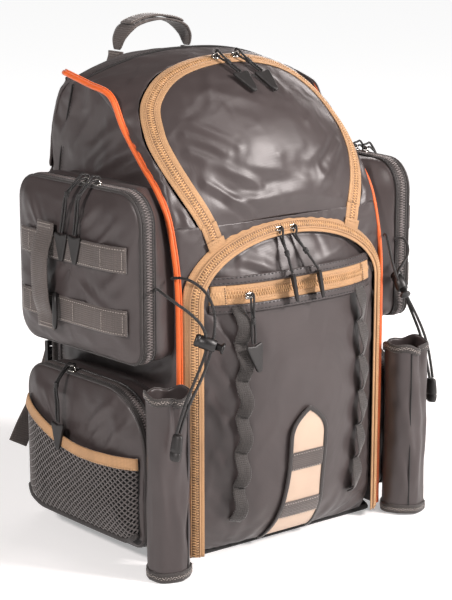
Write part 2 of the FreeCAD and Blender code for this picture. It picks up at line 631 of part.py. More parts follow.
def pull(at, out, down, knot, top, foot, wide):
    """Cord loop through a slider's bail and a moulded tag on its end.

    at is the slider's point on the zip, down the way the loop leaves it, and the tag lies from top to
    foot with its width along wide."""
    out, down, wide = Vector(out).normalize(), Vector(down).normalize(), Vector(wide).normalize()
    bail = at + out * BAIL_OUT
    reach = 2.3
    split = wide * (PULL_CORD_R + 0.4)
    loop = [top + split, knot + split, bail + out * reach + down * reach * 1.4,
            bail + out * reach - down * reach, bail - out * reach - down * reach,
            bail - out * reach + down * reach * 1.4, knot - split, top - split]
    cord = tube([tuple(point) for point in loop], PULL_CORD_R, "pull")
    lean = (foot - top).normalize()
    wide = (wide - lean * wide.dot(lean)).normalize()
    thick = wide.cross(lean).normalize() * TAG_THICK
    half, tip = TAG_WIDE / 2, TAG_NARROW / 2
    corners = [(-half, 0.8), (half, 0.8), (tip, PULL_TAG), (-tip, PULL_TAG)]
    tag = polygon([top + wide * u + lean * v - thick * 0.5 for u, v in corners]).extrude(thick)
    return cord, tag


def on_flap(x, z, lift):
    return Vector(x, flap_y(x, z) - lift, z)


def on_skin(skin, x, y):
    """The highest point of the bag's top above a given x and y."""
    probe = Part.LineSegment(Vector(x, y, 600), Vector(x, y, 300)).toShape()
    return Vector(x, y, skin.common(probe).BoundBox.ZMax)


def make_upper_sliders(skin):
    """Two sliders at the top of the upper zip; their pulls lie on the sloping flap."""
    for side, x, lean in (("left", -12.0, 6.0), ("right", 12.0, 8.0)):
        slope, down = Vector(0, -0.52, 0.854), Vector(0, -0.854, -0.52)
        at = on_skin(skin, x, UPPER_SLIDER_Y) + slope * 0.9
        save(f"upper_slider_{side}", slider(at, X_AXIS, slope))
        knot = on_skin(skin, x + lean * 0.4, UPPER_SLIDER_Y - 15) + slope * 5
        top = on_skin(skin, x + lean, UPPER_SLIDER_Y - 28) + slope * 4
        foot = on_skin(skin, x + lean + 3, UPPER_SLIDER_Y - 50) + slope * 4
        save(f"upper_pull_{side}", *pull(at, slope, down, knot, top, foot, X_AXIS))


def make_lower_sliders():
    """Two sliders at the top of the lower arch, and one on the front pocket's zip."""
    front, down = -Y_AXIS, -Z_AXIS
    edgeways = Vector(0.5, 0.87, 0)
    for side, x, lean in (("left", -15.5, -2.0), ("right", 1.0, 13.0)):
        at = Vector(x, FLAP_EDGE_Y, 309.5)
        save(f"lower_slider_{side}", slider(at, X_AXIS, front))
        knot, top = on_flap(x + lean * 0.4, 289, 7), on_flap(x + lean, 272, 11)
        foot = on_flap(x + lean + 1, 245, 12)
        save(f"lower_pull_{side}", *pull(at, front, down, knot, top, foot, edgeways))
    x = -66.0
    at = Vector(x, flap_y(0, POCKET_ZIP_Z) - 1.3, POCKET_ZIP_Z)
    save("front_pocket_slider", slider(at, X_AXIS, front))
    knot, top = on_flap(x + 1, 234, 9), on_flap(x, 213, 9)
    save("front_pocket_pull", *pull(at, front, down, knot, top, on_flap(x + 4, 184, 10), X_AXIS))


def side_puller(pocket, y, drop, proud, mirror):
    """A pocket's slider with its pull, on the top run of the zip. proud clears what is on the panel."""
    at = Vector(pocket["rim"] + 4.5, y, pocket["z"][1])
    x = pocket["face"] + pocket["crown"] + proud
    knot = Vector(x - 2, y + drop * 0.4, at.z - 8)
    top, foot = Vector(x, y + drop, at.z - 44), Vector(x + 0.5, y + drop, at.z - 71)
    pieces = [slider(at, Y_AXIS, Z_AXIS), *pull(at, Z_AXIS, X_AXIS, knot, top, foot, Y_AXIS)]
    pieces = [flared(piece, pocket) for piece in pieces]
    return [mirrored(piece) for piece in pieces] if mirror else pieces


def make_side_pullers():
    for side, mirror in (("left", True), ("right", False)):
        save(f"upper_pocket_puller_{side}_front", *side_puller(UPPER_POCKET, -44, 8, 4.2, mirror))
        save(f"upper_pocket_puller_{side}_rear", *side_puller(UPPER_POCKET, -28, 12, 4.2, mirror))
        save(f"lower_pocket_puller_{side}", *side_puller(LOWER_POCKET, 10, -6, MESH_STAND + 2.6, mirror))


# ---------------------------------------------------------------- build
def main():
    os.makedirs("parts", exist_ok=True)
    skin = make_shell()
    make_lower_flap()
    make_flap_trim()
    make_pockets()
    save("rod_tube_left", rod_tube(-1))
    save("rod_tube_right", rod_tube(1))
    save("side_piping", piping(PIPING_R), mirrored(piping(PIPING_R)))
    save("carry_handle", carry_handle())
    save("shoulder_strap_right", shoulder_strap())
    save("shoulder_strap_left", mirrored(shoulder_strap()))
    webbing = strap_webbing()
    save("strap_webbing", *webbing, *[mirrored(piece) for piece in webbing])
    save("ladder_locks", ladder_lock(), mirrored(ladder_lock()))
    make_bungees()
    make_upper_sliders(skin)
    make_lower_sliders()
    make_side_pullers()
    print("radii", {name: radii for name, radii in radii_used.items() if name.startswith("bungee")})


main()
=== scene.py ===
"""Looks of the tackle backpack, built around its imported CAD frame.

Lengths in this script are millimetres in the part's frame (+Z up, -Y front); meshes are made in metres.
"""
import math

import bpy
import numpy as np
from mathutils import Matrix, Vector, noise
from mathutils.bvhtree import BVHTree


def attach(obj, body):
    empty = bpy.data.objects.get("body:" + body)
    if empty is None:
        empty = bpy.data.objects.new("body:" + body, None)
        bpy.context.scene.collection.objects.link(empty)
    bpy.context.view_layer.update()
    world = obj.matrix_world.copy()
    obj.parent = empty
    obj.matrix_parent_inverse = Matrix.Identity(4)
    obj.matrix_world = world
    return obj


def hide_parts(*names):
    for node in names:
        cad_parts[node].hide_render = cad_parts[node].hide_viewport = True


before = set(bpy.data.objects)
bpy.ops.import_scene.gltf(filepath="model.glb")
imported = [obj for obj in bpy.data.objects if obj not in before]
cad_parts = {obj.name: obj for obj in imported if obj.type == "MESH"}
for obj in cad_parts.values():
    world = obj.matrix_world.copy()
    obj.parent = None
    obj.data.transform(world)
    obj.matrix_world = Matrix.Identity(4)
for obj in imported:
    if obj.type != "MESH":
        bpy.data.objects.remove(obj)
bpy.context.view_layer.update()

MM = 0.001

# ---------------------------------------------------------------- driving sizes, as in the CAD part
HALF_WIDTH = 120.5
SIDE_FACE = 122.5
SIDE_PROFILE = [(-112, 250), (-111, 290), (-104, 320), (-88, 352), (-68, 378), (-42, 402),
                (-12, 423), (25, 435), (62, 440), (88, 424), (101, 388), (105, 350)]
CROWN_PROFILE = [(-113, 250), (-116, 290), (-116.5, 320), (-113, 356), (-100, 394), (-72, 429),
                 (-34, 455), (8, 465), (58, 464), (94, 457), (107, 424), (106, 352)]
PIPING_PROFILE = [(-112.5, 236), (-110, 278), (-103, 306), (-88, 341), (-68, 361), (-50, 378),
                  (-28, 402), (-8, 429), (45, 441), (74, 432), (94, 392), (100, 352)]
CROWN_POWER = 2.2
PIPING_ROUTE = [(70, 446), (28, 438), (-8, 430), (-28, 403), (-57, 373), (-78, 354), (-95, 332),
                (-105, 303), (-111.5, 267), (-113, 215), (-113, 150), (-113, 90), (-113, 40), (-113, 9)]
UPPER_OUTLINE = [(97, 0), (111, 34), (118.5, 66), (118, 100), (104, 138), (65, 167), (0, 177)]
HINGE_Y, HINGE_Z = -116.5, 320.0
LEAN = math.atan2(148.0, 95.0)
TAPE = 9.0
SEAM_T = 7.55             # station of the seam between the upper gusset and the top panel
ARCH_SPRING = 250.0
ARCH_OUTER, ARCH_INNER = (120.5, 67.5), (100.0, 54.0)   # half width and arch height
FLAP_BOTTOM, FLAP_EDGE_Y, FLAP_HEM_Y, FLAP_CROWN = 6.0, -121.0, -108.0, 30.0
POCKET_ZIP_Z, POCKET_ZIP_X = 257.0, 97.0
UPPER_POCKET = {"y": (-110.0, 70.0), "z": (198.0, 355.0), "corners": (14.0, 24.0, 24.0, 30.0),
                "rim": 154.0, "face": 166.0, "yaw": 4.3, "crown": 10.0}
LOWER_POCKET = {"y": (-105.0, 79.0), "z": (20.0, 167.0), "corners": (14.0, 30.0, 28.0, 58.0),
                "rim": 149.0, "face": 160.0, "yaw": 2.8, "crown": 7.0}
TUBE_X, TUBE_Y, TUBE_R, TUBE_TOP = 147.0, -127.0, 21.5, 176.0
WEBBING = 25.0
SIDES = (("left", -1), ("right", 1))
X, Y, Z = np.eye(3)


# ---------------------------------------------------------------- materials
def shader(name, color, rough, metallic=0.0, sheen=0.0, coat=0.0, specular=0.5):
    mat = bpy.data.materials.new(name)
    mat.use_nodes = True
    tree = mat.node_tree
    bsdf = tree.nodes["Principled BSDF"]
    bsdf.inputs["Base Color"].default_value = (*color, 1)
    bsdf.inputs["Roughness"].default_value = rough
    bsdf.inputs["Metallic"].default_value = metallic
    bsdf.inputs["Sheen Weight"].default_value = sheen
    bsdf.inputs["Sheen Roughness"].default_value = 0.4
    bsdf.inputs["Coat Weight"].default_value = coat
    bsdf.inputs["Coat Roughness"].default_value = 0.35
    bsdf.inputs["Specular IOR Level"].default_value = specular
    return mat, tree, bsdf


def node(tree, kind, **values):
    made = tree.nodes.new("ShaderNode" + kind)
    for key, value in values.items():
        if key in made.inputs:
            made.inputs[key].default_value = value
        else:
            setattr(made, key, value)
    return made


def place(tree):
    """Coordinates that stay with the cloth, in metres."""
    return node(tree, "TexCoord").outputs["Object"]


def vary(tree, bsdf, color, dark, scale, detail=4.0):
    """Slow colour variation, between the colour and its darker tone."""
    noise_node = node(tree, "TexNoise", Scale=scale, Detail=detail)
    mix = node(tree, "Mix", data_type="RGBA")
    tree.links.new(place(tree), noise_node.inputs["Vector"])
    ramp = node(tree, "MapRange")
    ramp.inputs["From Min"].default_value = 0.35
    ramp.inputs["From Max"].default_value = 0.65
    tree.links.new(noise_node.outputs["Fac"], ramp.inputs["Value"])
    tree.links.new(ramp.outputs["Result"], mix.inputs["Factor"])
    mix.inputs["A"].default_value = (*[c * dark for c in color], 1)
    mix.inputs["B"].default_value = (*color, 1)
    tree.links.new(mix.outputs["Result"], bsdf.inputs["Base Color"])
    return mix


def waves(tree, pitch, direction, profile="SIN"):
    """Parallel ridges of a given pitch in millimetres."""
    wave = node(tree, "TexWave", wave_type="BANDS", bands_direction=direction, wave_profile=profile)
    wave.inputs["Scale"].default_value = 1000.0 / pitch / 3.1831
    wave.inputs["Distortion"].default_value = 0.0
    tree.links.new(place(tree), wave.inputs["Vector"])
    return wave.outputs["Fac"]


def product(tree, a, b, operation="MULTIPLY"):
    made = node(tree, "Math", operation=operation)
    tree.links.new(a, made.inputs[0])
    tree.links.new(b, made.inputs[1])
    return made.outputs["Value"]


def bump(tree, bsdf, height, strength, distance):
    made = node(tree, "Bump", Strength=strength, Distance=distance)
    tree.links.new(height, made.inputs["Height"])
    last = bsdf.inputs["Normal"].links
    if last:
        tree.links.new(last[0].from_socket, made.inputs["Normal"])
    tree.links.new(made.outputs["Normal"], bsdf.inputs["Normal"])


def grain(tree, bsdf, scale, strength, distance, detail=3.0):
    noise_node = node(tree, "TexNoise", Scale=scale, Detail=detail)
    tree.links.new(place(tree), noise_node.inputs["Vector"])
    bump(tree, bsdf, noise_node.outputs["Fac"], strength, distance)
    return noise_node.outputs["Fac"]


def cloth(name, color, rough, pitch, depth, dark=0.75, sheen=0.1, coat=0.0, weave=0.35, crease=0.0):
    """Woven cloth: crossed threads of a given pitch, soft colour variation and a fine fuzz."""
    mat, tree, bsdf = shader(name, color, rough, sheen=sheen, coat=coat)
    mix = vary(tree, bsdf, color, dark, 28)
    across = product(tree, waves(tree, pitch, "X"), waves(tree, pitch, "Y"), "MAXIMUM")
    threads = product(tree, across, waves(tree, pitch, "Z"))
    bump(tree, bsdf, threads, weave, depth * MM)
    grain(tree, bsdf, 900, 0.15, 0.0002)
    if crease:
        crumple(tree, bsdf, crease)
    speck = node(tree, "MapRange")
    speck.inputs["To Min"].default_value = rough - 0.08
    speck.inputs["To Max"].default_value = rough + 0.1
    tree.links.new(threads, speck.inputs["Value"])
    tree.links.new(speck.outputs["Result"], bsdf.inputs["Roughness"])
    return mat, tree, bsdf, mix, threads


def crumple(tree, bsdf, strength):
    """Sharp-edged creases of a stiff coated cloth, long ones and short ones."""
    for scale, share, depth in ((13, 1.0, 0.006), (34, 0.5, 0.004)):
        ridges = node(tree, "TexNoise", noise_type="RIDGED_MULTIFRACTAL", normalize=True, Scale=scale,
                      Detail=2.0,
                      Distortion=0.7)
        stretch = node(tree, "Mapping", Scale=(1.0, 1.0, 0.6), Rotation=(0.4, 0.2, 0.3))
        tree.links.new(place(tree), stretch.inputs["Vector"])
        tree.links.new(stretch.outputs["Vector"], ridges.inputs["Vector"])
        bump(tree, bsdf, ridges.outputs["Fac"], strength * share, depth)


def shade_threads(tree, bsdf, mix, threads, floor):
    """Painted shade: darkens the gaps between threads, where shade falls."""
    ramp = node(tree, "MapRange")
    ramp.inputs["To Min"].default_value = floor
    tree.links.new(threads, ramp.inputs["Value"])
    scaled = node(tree, "VectorMath", operation="SCALE")
    tree.links.new(mix.outputs["Result"], scaled.inputs["Vector"])
    tree.links.new(ramp.outputs["Result"], scaled.inputs["Scale"])
    tree.links.new(scaled.outputs["Vector"], bsdf.inputs["Base Color"])


NYLON = (0.043, 0.033, 0.0325)
TAN = (0.50, 0.285, 0.135)
GREY_WEB = (0.105, 0.086, 0.078)


def make_materials():
    made = {}
    made["nylon"] = cloth("coated_nylon", NYLON, 0.47, 0.9, 0.04, 0.88, 0.04, 0.0, 0.15, 0.9)[0]
    # Near-black nylon; behind the lower pockets' nets it is painted shade.
    made["dark_nylon"] = cloth("black_nylon_and_net_shade", (0.006, 0.005, 0.005), 0.8, 0.9, 0.06, 0.8, 0.1)[0]
    tan = cloth("tan_tape", TAN, 0.75, 1.3, 0.25, 0.82, 0.25, 0.0, 0.6)
    shade_threads(*tan[1:], 0.72)
    made["tan"] = tan[0]
    made["patch"] = cloth("tan_canvas", (0.50, 0.375, 0.285), 0.75, 0.8, 0.1, 0.93, 0.2, 0.0, 0.3)[0]
    orange = cloth("orange_piping", (0.80, 0.13, 0.012), 0.5, 1.1, 0.2, 0.86, 0.25, 0.0, 0.5)
    shade_threads(*orange[1:], 0.75)
    made["orange"] = orange[0]
    web = cloth("grey_webbing", GREY_WEB, 0.72, 1.9, 0.4, 0.8, 0.3, 0.0, 0.8)
    shade_threads(*web[1:], 0.62)
    made["webbing"] = web[0]
    black = cloth("black_webbing", (0.045, 0.038, 0.035), 0.7, 1.9, 0.4, 0.8, 0.3, 0.0, 0.8)
    shade_threads(*black[1:], 0.6)
    made["black_webbing"] = black[0]
    cord = cloth("braided_cord", (0.006, 0.005, 0.005), 0.5, 1.0, 0.3, 0.7, 0.15, 0.0, 0.9)
    shade_threads(*cord[1:], 0.6)
    made["cord"] = cord[0]
    spacer = cloth("spacer_mesh", (0.028, 0.026, 0.027), 0.85, 3.2, 0.9, 0.8, 0.4, 0.0, 1.0)
    shade_threads(*spacer[1:], 0.35)
    made["spacer"] = spacer[0]
    # The net's own colour is near black; it is lifted to grey as painted sheen on its strands.
    made["net"] = cloth("knitted_net", (0.085, 0.072, 0.068), 0.5, 0.8, 0.2, 0.8, 0.3, 0.0, 0.6)[0]
    made["binding"] = cloth("dark_binding", (0.022, 0.018, 0.017), 0.7, 1.1, 0.2, 0.8, 0.3, 0.0, 0.5)[0]
    made["thread"] = cloth("pale_thread", (0.34, 0.30, 0.27), 0.6, 0.5, 0.1, 0.8, 0.3)[0]
    made["dark_thread"] = cloth("dark_thread", (0.012, 0.01, 0.01), 0.6, 0.5, 0.1, 0.8, 0.3)[0]
    made["tan_thread"] = cloth("tan_thread", (0.46, 0.27, 0.13), 0.6, 0.5, 0.1, 0.85, 0.3)[0]
    made["tan_coil"] = moulded("tan_coil", (0.55, 0.32, 0.15), 0.35, 0.2)
    # The coil bed's dark brown is painted shade, as seen between the teeth.
    made["shaded_coil_bed"] = moulded("shaded_coil_bed", (0.20, 0.11, 0.055), 0.6, 0.2)
    made["grey_coil"] = moulded("grey_coil", (0.13, 0.112, 0.108), 0.35, 0.2)
    made["plastic"] = moulded("black_plastic", (0.006, 0.005, 0.005), 0.42, 0.4)
    made["rubber"] = moulded("soft_rubber", (0.012, 0.0105, 0.010), 0.5, 0.8)
    nickel, tree, bsdf = shader("nickel_plate", (0.62, 0.59, 0.55), 0.22, metallic=1.0)
    vary(tree, bsdf, (0.62, 0.59, 0.55), 0.6, 160)
    grain(tree, bsdf, 700, 0.15, 0.0003)
    made["nickel"] = nickel
    return made


def moulded(name, color, rough, texture):
    """Moulded plastic or rubber with a fine spark-eroded texture, and tone and gloss that vary at random."""
    mat, tree, bsdf = shader(name, color, rough)
    vary(tree, bsdf, color, 0.7, 90)
    fine = grain(tree, bsdf, 1600, texture * 0.4, 0.0003)
    spread = node(tree, "MapRange")
    spread.inputs["To Min"].default_value = rough - 0.1
    spread.inputs["To Max"].default_value = rough + 0.12
    tree.links.new(fine, spread.inputs["Value"])
    tree.links.new(spread.outputs["Result"], bsdf.inputs["Roughness"])
    return mat


MATS = make_materials()


# ---------------------------------------------------------------- mesh helpers
def vec(p):
    return np.array(p, float)


def unit(v):
    v = np.asarray(v, float)
    return v / np.maximum(np.linalg.norm(v, axis=-1, keepdims=True), 1e-9)


def mesh_object(name, points, faces, material, smooth=True):
    """A mesh from points in millimetres."""
    data = bpy.data.meshes.new(name)
    data.from_pydata([tuple(p) for p in np.asarray(points, float) * MM], [], [tuple(f) for f in faces])
    data.update()
    if smooth:
        data.polygons.foreach_set("use_smooth", [True] * len(data.polygons))
    obj = in_scene(name, data)
    data.materials.append(MATS[material])
    return obj


def grid_faces(rows, columns, wrap=False, start=0):
    """Quads of a grid stored row by row; wrap joins the last column to the first."""
    last = columns if wrap else columns - 1
    faces = []
    for r in range(rows - 1):
        for c in range(last):
            d = (c + 1) % columns
            a, b = start + r * columns, start + (r + 1) * columns
            faces.append((a + c, a + d, b + d, b + c))
    return faces


def end_caps(rows, columns):
    """The two faces that close a tube of rings at its ends."""
    return [tuple(range(columns))[::-1], tuple((rows - 1) * columns + i for i in range(columns))]


def in_scene(name, data):
    obj = bpy.data.objects.new(name, data)
    bpy.context.scene.collection.objects.link(obj)
    return obj


BAG_CENTRE = (0, -5, 230)


def sheet_of(name, grid, material, thick, wrap=False, levels=1, centre=BAG_CENTRE, slack=0.0, place_at=None):
    """A cloth panel from a grid of points: faced outwards, settled if it is slack, thickened and smoothed."""
    grid = np.asarray(grid, float)
    rows, columns = grid.shape[:2]
    obj = mesh_object(name, grid.reshape(-1, 3), grid_faces(rows, columns, wrap), material)
    face_away(obj, centre)
    if place_at is not None:
        moved(obj, place_at)
    if slack:
        ends, sides = ((0,), ()) if wrap else ((0, rows - 1), (0, columns - 1))
        edge = [r * columns + c for r in range(rows) for c in range(columns) if r in ends or c in sides]
        settle(obj, edge, slack)
    thicken(obj, thick, levels)
    return obj


def face_away(obj, centre):
    """Turns a panel's faces so that they look away from a point."""
    middle = Vector(centre) * MM
    facing = sum((f.center - middle).dot(f.normal) * f.area for f in obj.data.polygons)
    if facing < 0:
        obj.data.flip_normals()


SLACK_FRAMES, SLACK_CAP = 16, 0.0016


def settle(obj, edge, slack):
    """Cloth simulation of a panel cut a little larger than its place, sewn down along its edge."""
    before = np.array([v.co[:] for v in obj.data.vertices])
    group = obj.vertex_groups.new(name="sewn")
    group.add(edge, 1.0, "REPLACE")
    sim = obj.modifiers.new("slack", "CLOTH")
    setup = sim.settings
    setup.quality = 6
    setup.mass = 0.12
    setup.tension_stiffness = 25
    setup.compression_stiffness = 25
    setup.shear_stiffness = 8
    setup.bending_stiffness = 0.12
    setup.shrink_min = -slack
    setup.vertex_group_mass = "sewn"
    setup.pin_stiffness = 20
    setup.use_pressure = True
    setup.uniform_pressure_force = 2.0
    setup.effector_weights.gravity = 0.3
    sim.collision_settings.use_collision = False
    scene = bpy.context.scene
    for step in range(1, SLACK_FRAMES + 1):
        scene.frame_set(step)
    settled = obj.evaluated_get(bpy.context.evaluated_depsgraph_get()).data
    shift = np.array([v.co[:] for v in settled.vertices]) - before
    far = np.linalg.norm(shift, axis=1, keepdims=True)
    shift *= SLACK_CAP / (SLACK_CAP + far)
    obj.modifiers.remove(sim)
    obj.vertex_groups.clear()
    obj.data.vertices.foreach_set("co", (before + shift).ravel())
    scene.frame_set(1)


def thicken(obj, thick, levels):
    if thick:
        solid = obj.modifiers.new("thickness", "SOLIDIFY")
        solid.thickness = abs(thick) * MM
        solid.offset = -1.0 if thick > 0 else 1.0
    if levels:
        subdivision = obj.modifiers.new("smooth", "SUBSURF")
        subdivision.levels = levels
        subdivision.render_levels = levels


def tangents(path, closed=False):
    path = np.asarray(path, float)
    if closed:
        return unit(np.roll(path, -1, 0) - np.roll(path, 1, 0))
    return unit(np.gradient(path, axis=0))


def frames_along(path, normals, closed=False):
    """Along, across and up directions of a strip that follows a path on a surface."""
    along = tangents(path, closed)
    normals = np.broadcast_to(np.asarray(normals, float), along.shape)
    across = unit(np.cross(normals, along))
    up = unit(np.cross(along, across))
    return along, across, up


def sweep_grid(path, normals, section, closed=False):
    _, across, up = frames_along(path, normals, closed)
    section = np.asarray(section, float)
    path = np.asarray(path, float)
    return path[:, None] + section[None, :, :1] * across[:, None] + section[None, :, 1:2] * up[:, None]


def sweep(name, path, normals, section, material, closed=False, levels=0, caps=True):
    """A strip, tape, cord or binding: a closed section carried along a path."""
    grid = sweep_grid(path, normals, section, closed)
    rows, columns = grid.shape[:2]
    faces = grid_faces(rows, columns, True)
    if closed:
        faces += [(a, b, c - rows * columns, d - rows * columns) for a, b, c, d in
                  grid_faces(2, columns, True, (rows - 1) * columns)]
    elif caps:
        faces += end_caps(rows, columns)
    obj = mesh_object(name, grid.reshape(-1, 3), faces, material)
    if levels:
        thicken(obj, 0, levels)
    return obj


def round_section(radius, count=10, flat=1.0):
    turns = [2 * math.pi * i / count for i in range(count)]
    return [(radius * math.cos(a), radius * flat * math.sin(a)) for a in turns]


def strap_section(width, thick, lift=0.0):
    """Webbing: flat faces and rounded selvedges."""
    w, t, r = width / 2, thick, thick * 0.45
    return [(-w, lift + t * 0.3), (-w + r, lift), (-w * 0.4, lift), (w * 0.4, lift), (w - r, lift),
            (w, lift + t * 0.3),
            (w, lift + t * 0.7), (w - r, lift + t), (w * 0.4, lift + t * 1.04), (-w * 0.4, lift + t * 1.04),
            (-w + r, lift + t), (-w, lift + t * 0.7)]


def lengths_along(path):
    return np.concatenate([[0], np.cumsum(np.linalg.norm(np.diff(path, axis=0), axis=1))])


def resample(path, step=None, count=None, closed=False):
    """Points evenly spaced along a polyline."""
    path = np.asarray(path, float)
    if closed:
        path = np.vstack([path, path[:1]])
    lengths = lengths_along(path)
    count = count or max(3, int(round(lengths[-1] / step)) + 1)
    at = np.linspace(0, lengths[-1], count + 1 if closed else count)
    points = np.stack([np.interp(at, lengths, path[:, k]) for k in range(3)], 1)
    return points[:-1] if closed else points


def smooth_curve(points, count, closed=False):
    """Catmull-Rom curve through points, evenly spaced."""
    points = np.asarray(points, float)
    n = len(points)
    dense = []
    spans = n if closed else n - 1
    for i in range(spans):
        for t in np.linspace(0, 1, 12, endpoint=False):
            dense.append(catmull(points, i + t, closed))
    if not closed:
        dense.append(points[-1])
    return resample(dense, count=count, closed=closed)


def catmull(points, at, closed=False):
    n = len(points)
    i = min(int(at), n - 1 if closed else n - 2)
    t = at - i
    if closed:
        a, b, c, d = (points[(i + k) % n] for k in (-1, 0, 1, 2))
    else:
        b, c = points[i], points[i + 1]
        a = points[i - 1] if i > 0 else 2 * b - c
        d = points[i + 2] if i + 2 < n else 2 * c - b
    return 0.5 * (2 * b + (c - a) * t + (2 * a - 5 * b + 4 * c - d) * t ** 2 + (3 * b - a - 3 * c + d) * t
                  ** 3)


def many(name, template, origins, along, across, up, material):
    """Copies of a small template, one per frame, in one mesh."""
    verts, faces = template
    verts = np.asarray(verts, float)
    origins, along, across, up = (np.asarray(v, float) for v in (origins, along, across, up))
    points = (origins[:, None] + verts[None, :, :1] * along[:, None] + verts[None, :, 1:2] * across[:, None]
              + verts[None, :, 2:3] * up[:, None])
    size = len(verts)
    all_faces = [tuple(i * size + v for v in face) for i in range(len(origins)) for face in faces]
    return mesh_object(name, points.reshape(-1, 3), all_faces, material)


def capsule(length, width, height, sides=6):
    """A rounded bar along its first axis."""
    rings = [(-0.5, 0.0), (-0.42, 0.7), (-0.2, 1.0), (0.2, 1.0), (0.42, 0.7), (0.5, 0.0)]
    verts = [(x * length, r * width / 2 * math.cos(2 * math.pi * k / sides),
              r * height / 2 * math.sin(2 * math.pi * k / sides)) for x, r in rings for k in range(sides)]
    return verts, grid_faces(len(rings), sides, True)


def stitches(name, path, normals, material="thread", pitch=3.4, lift=0.25, closed=False, size=0.75):
    """A row of lockstitches along a path."""
    path = np.asarray(path, float)
    normals = np.broadcast_to(np.asarray(normals, float), path.shape)
    points, ups = resample_with(path, normals, pitch, closed)
    along, across, up = frames_along(points, ups, closed)
    return many(name, capsule(pitch * 0.68, size, size * 0.8), points + up * lift, along, across, up,
                material)


def resample_with(path, normals, step, closed=False):
    """Evenly spaced points of a path with their normals."""
    if closed:
        path, normals = np.vstack([path, path[:1]]), np.vstack([normals, normals[:1]])
    lengths = lengths_along(path)
    at = np.arange(step / 2, lengths[-1] - step * 0.3, step)
    points = np.stack([np.interp(at, lengths, path[:, k]) for k in range(3)], 1)
    ups = unit(np.stack([np.interp(at, lengths, normals[:, k]) for k in range(3)], 1))
    return points, ups


def joined(name, parts):
    """One piece from several meshes that share a body."""
    bpy.ops.object.select_all(action="DESELECT")
    for part in parts:
        part.select_set(True)
    bpy.context.view_layer.objects.active = parts[0]
    bpy.ops.object.convert(target="MESH")
    bpy.ops.object.join()
    made = bpy.context.view_layer.objects.active
    made.name = name
    return made


def moved(obj, matrix):
    """Applies a placement in millimetres to a mesh; a mirroring one also turns its faces."""
    scaled = Matrix(matrix)
    scaled.translation = scaled.translation * MM
    obj.data.transform(scaled)
    if scaled.determinant() < 0:
        obj.data.flip_normals()
    return obj


def finish_piece(obj, body, slot, *nodes):
    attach(obj, body)
    if nodes:
        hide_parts(*nodes)
    return obj


def fold(p, size, seed=0.0, stretch=(1, 1, 1)):
    """Soft noise between -1 and 1 at a point, with features of a given size in millimetres."""
    q = Vector((p[0] / size * stretch[0] + seed, p[1] / size * stretch[1] - seed,
                p[2] / size * stretch[2] + 2 * seed))
    return noise.noise(q)


def crease(p, size, seed=0.0, stretch=(1, 1, 1)):
    """Sharp-topped folds, 0 between them and 1 along their ridges."""
    return max(0.0, 1 - abs(fold(p, size, seed, stretch)) * 3.2) ** 2


def wrinkled(grid, amount, size, seed, stretch=(1, 1, 1), fade=None):
    """Pushes a grid of points along its normals into folds and creases."""
    grid = np.asarray(grid, float)
    du = np.gradient(grid, axis=1)
    dv = np.gradient(grid, axis=0)
    normals = unit(np.cross(du, dv))
    out = grid.copy()
    rows, columns = grid.shape[:2]
    for r in range(rows):
        for c in range(columns):
            p = grid[r, c]
            depth = 0.9 * fold(p, size, seed, stretch) + 0.55 * crease(p, size * 0.8, seed + 5, stretch)
            share = 1.0 if fade is None else fade(r / (rows - 1), c / (columns - 1))
            out[r, c] = p + normals[r, c] * depth * amount * share
    return out


def pleats(grid, folds, away):
    """Long sharp folds of slack cloth, each (one end, other end, half width, height), raised towards away."""
    out = np.array(grid, float)
    for start, end, width, height in folds:
        start, run = vec(start), vec(end) - vec(start)
        along = np.clip((out - start) @ run / (run @ run), 0, 1)
        off = np.linalg.norm(out - start - along[..., None] * run, axis=-1)
        crest = height * np.sin(math.pi * np.clip(along, 0.08, 0.92)) ** 0.5
        shape = crest * (np.exp(-(off / width) ** 1.3) - 0.35 * np.exp(-((off - 1.7 * width) / width) ** 2))
        out += shape[..., None] * vec(away)
    return out


def edge_fade(width=0.12):
    """Folds die out towards every sewn edge."""
    return lambda v, u: min(1.0, min(u, 1 - u, v, 1 - v) / width)


# ---------------------------------------------------------------- the bag's outer surface
SIDE_3D = [vec((0, y, z)) for y, z in SIDE_PROFILE]
CROWN_3D = [vec((0, y, z)) for y, z in CROWN_PROFILE]
PIPE_3D = [vec((0, y, z)) for y, z in PIPING_PROFILE]
ROUND = 12.0              # extra width past the side that turns the corner down to the piping


def skin(x, t):
    """The bag's top and front at a station t, past HALF_WIDTH turning down its side to the piping."""
    side = catmull(SIDE_3D, t)
    inside = min(abs(x), HALF_WIDTH)
    weight = 1 - (inside / HALF_WIDTH) ** CROWN_POWER
    p = side * (1 - weight) + catmull(CROWN_3D, t) * weight
    p[0] = math.copysign(inside, x)
    if abs(x) > HALF_WIDTH:
        turn = min(1.0, (abs(x) - HALF_WIDTH) / ROUND)
        p = p * (1 - turn) + catmull(PIPE_3D, t) * turn
        p[0] = math.copysign(HALF_WIDTH + 2.6 * math.sin(turn * math.pi / 2) ** 0.7, x)
    return p


def skin_probe():
    xs = np.linspace(-HALF_WIDTH - ROUND, HALF_WIDTH + ROUND, 67)
    ts = np.linspace(0, 11, 89)
    points = [skin(x, t) for t in ts for x in xs]
    return BVHTree.FromPolygons([Vector(p) for p in points], grid_faces(len(ts), len(xs)))


PROBE = skin_probe()
FLAP_UP = vec((0, math.cos(LEAN), math.sin(LEAN)))
FLAP_OUT = vec((0, -math.sin(LEAN), math.cos(LEAN)))


def on_plane(u, v, lift=0.0):
    """The point of the bag's surface behind (u, v) of the upper flap's leaning plane, and its normal."""
    start = vec((u, HINGE_Y, HINGE_Z)) + FLAP_UP * v + FLAP_OUT * 150
    hit, normal, _, _ = PROBE.ray_cast(Vector(start), Vector(-FLAP_OUT))
    if hit is None:
        hit, normal, _, _ = PROBE.find_nearest(Vector(start - FLAP_OUT * 150))
    normal = vec(normal)
    if normal @ FLAP_OUT < 0:
        normal = -normal
    return vec(hit) + normal * lift, normal


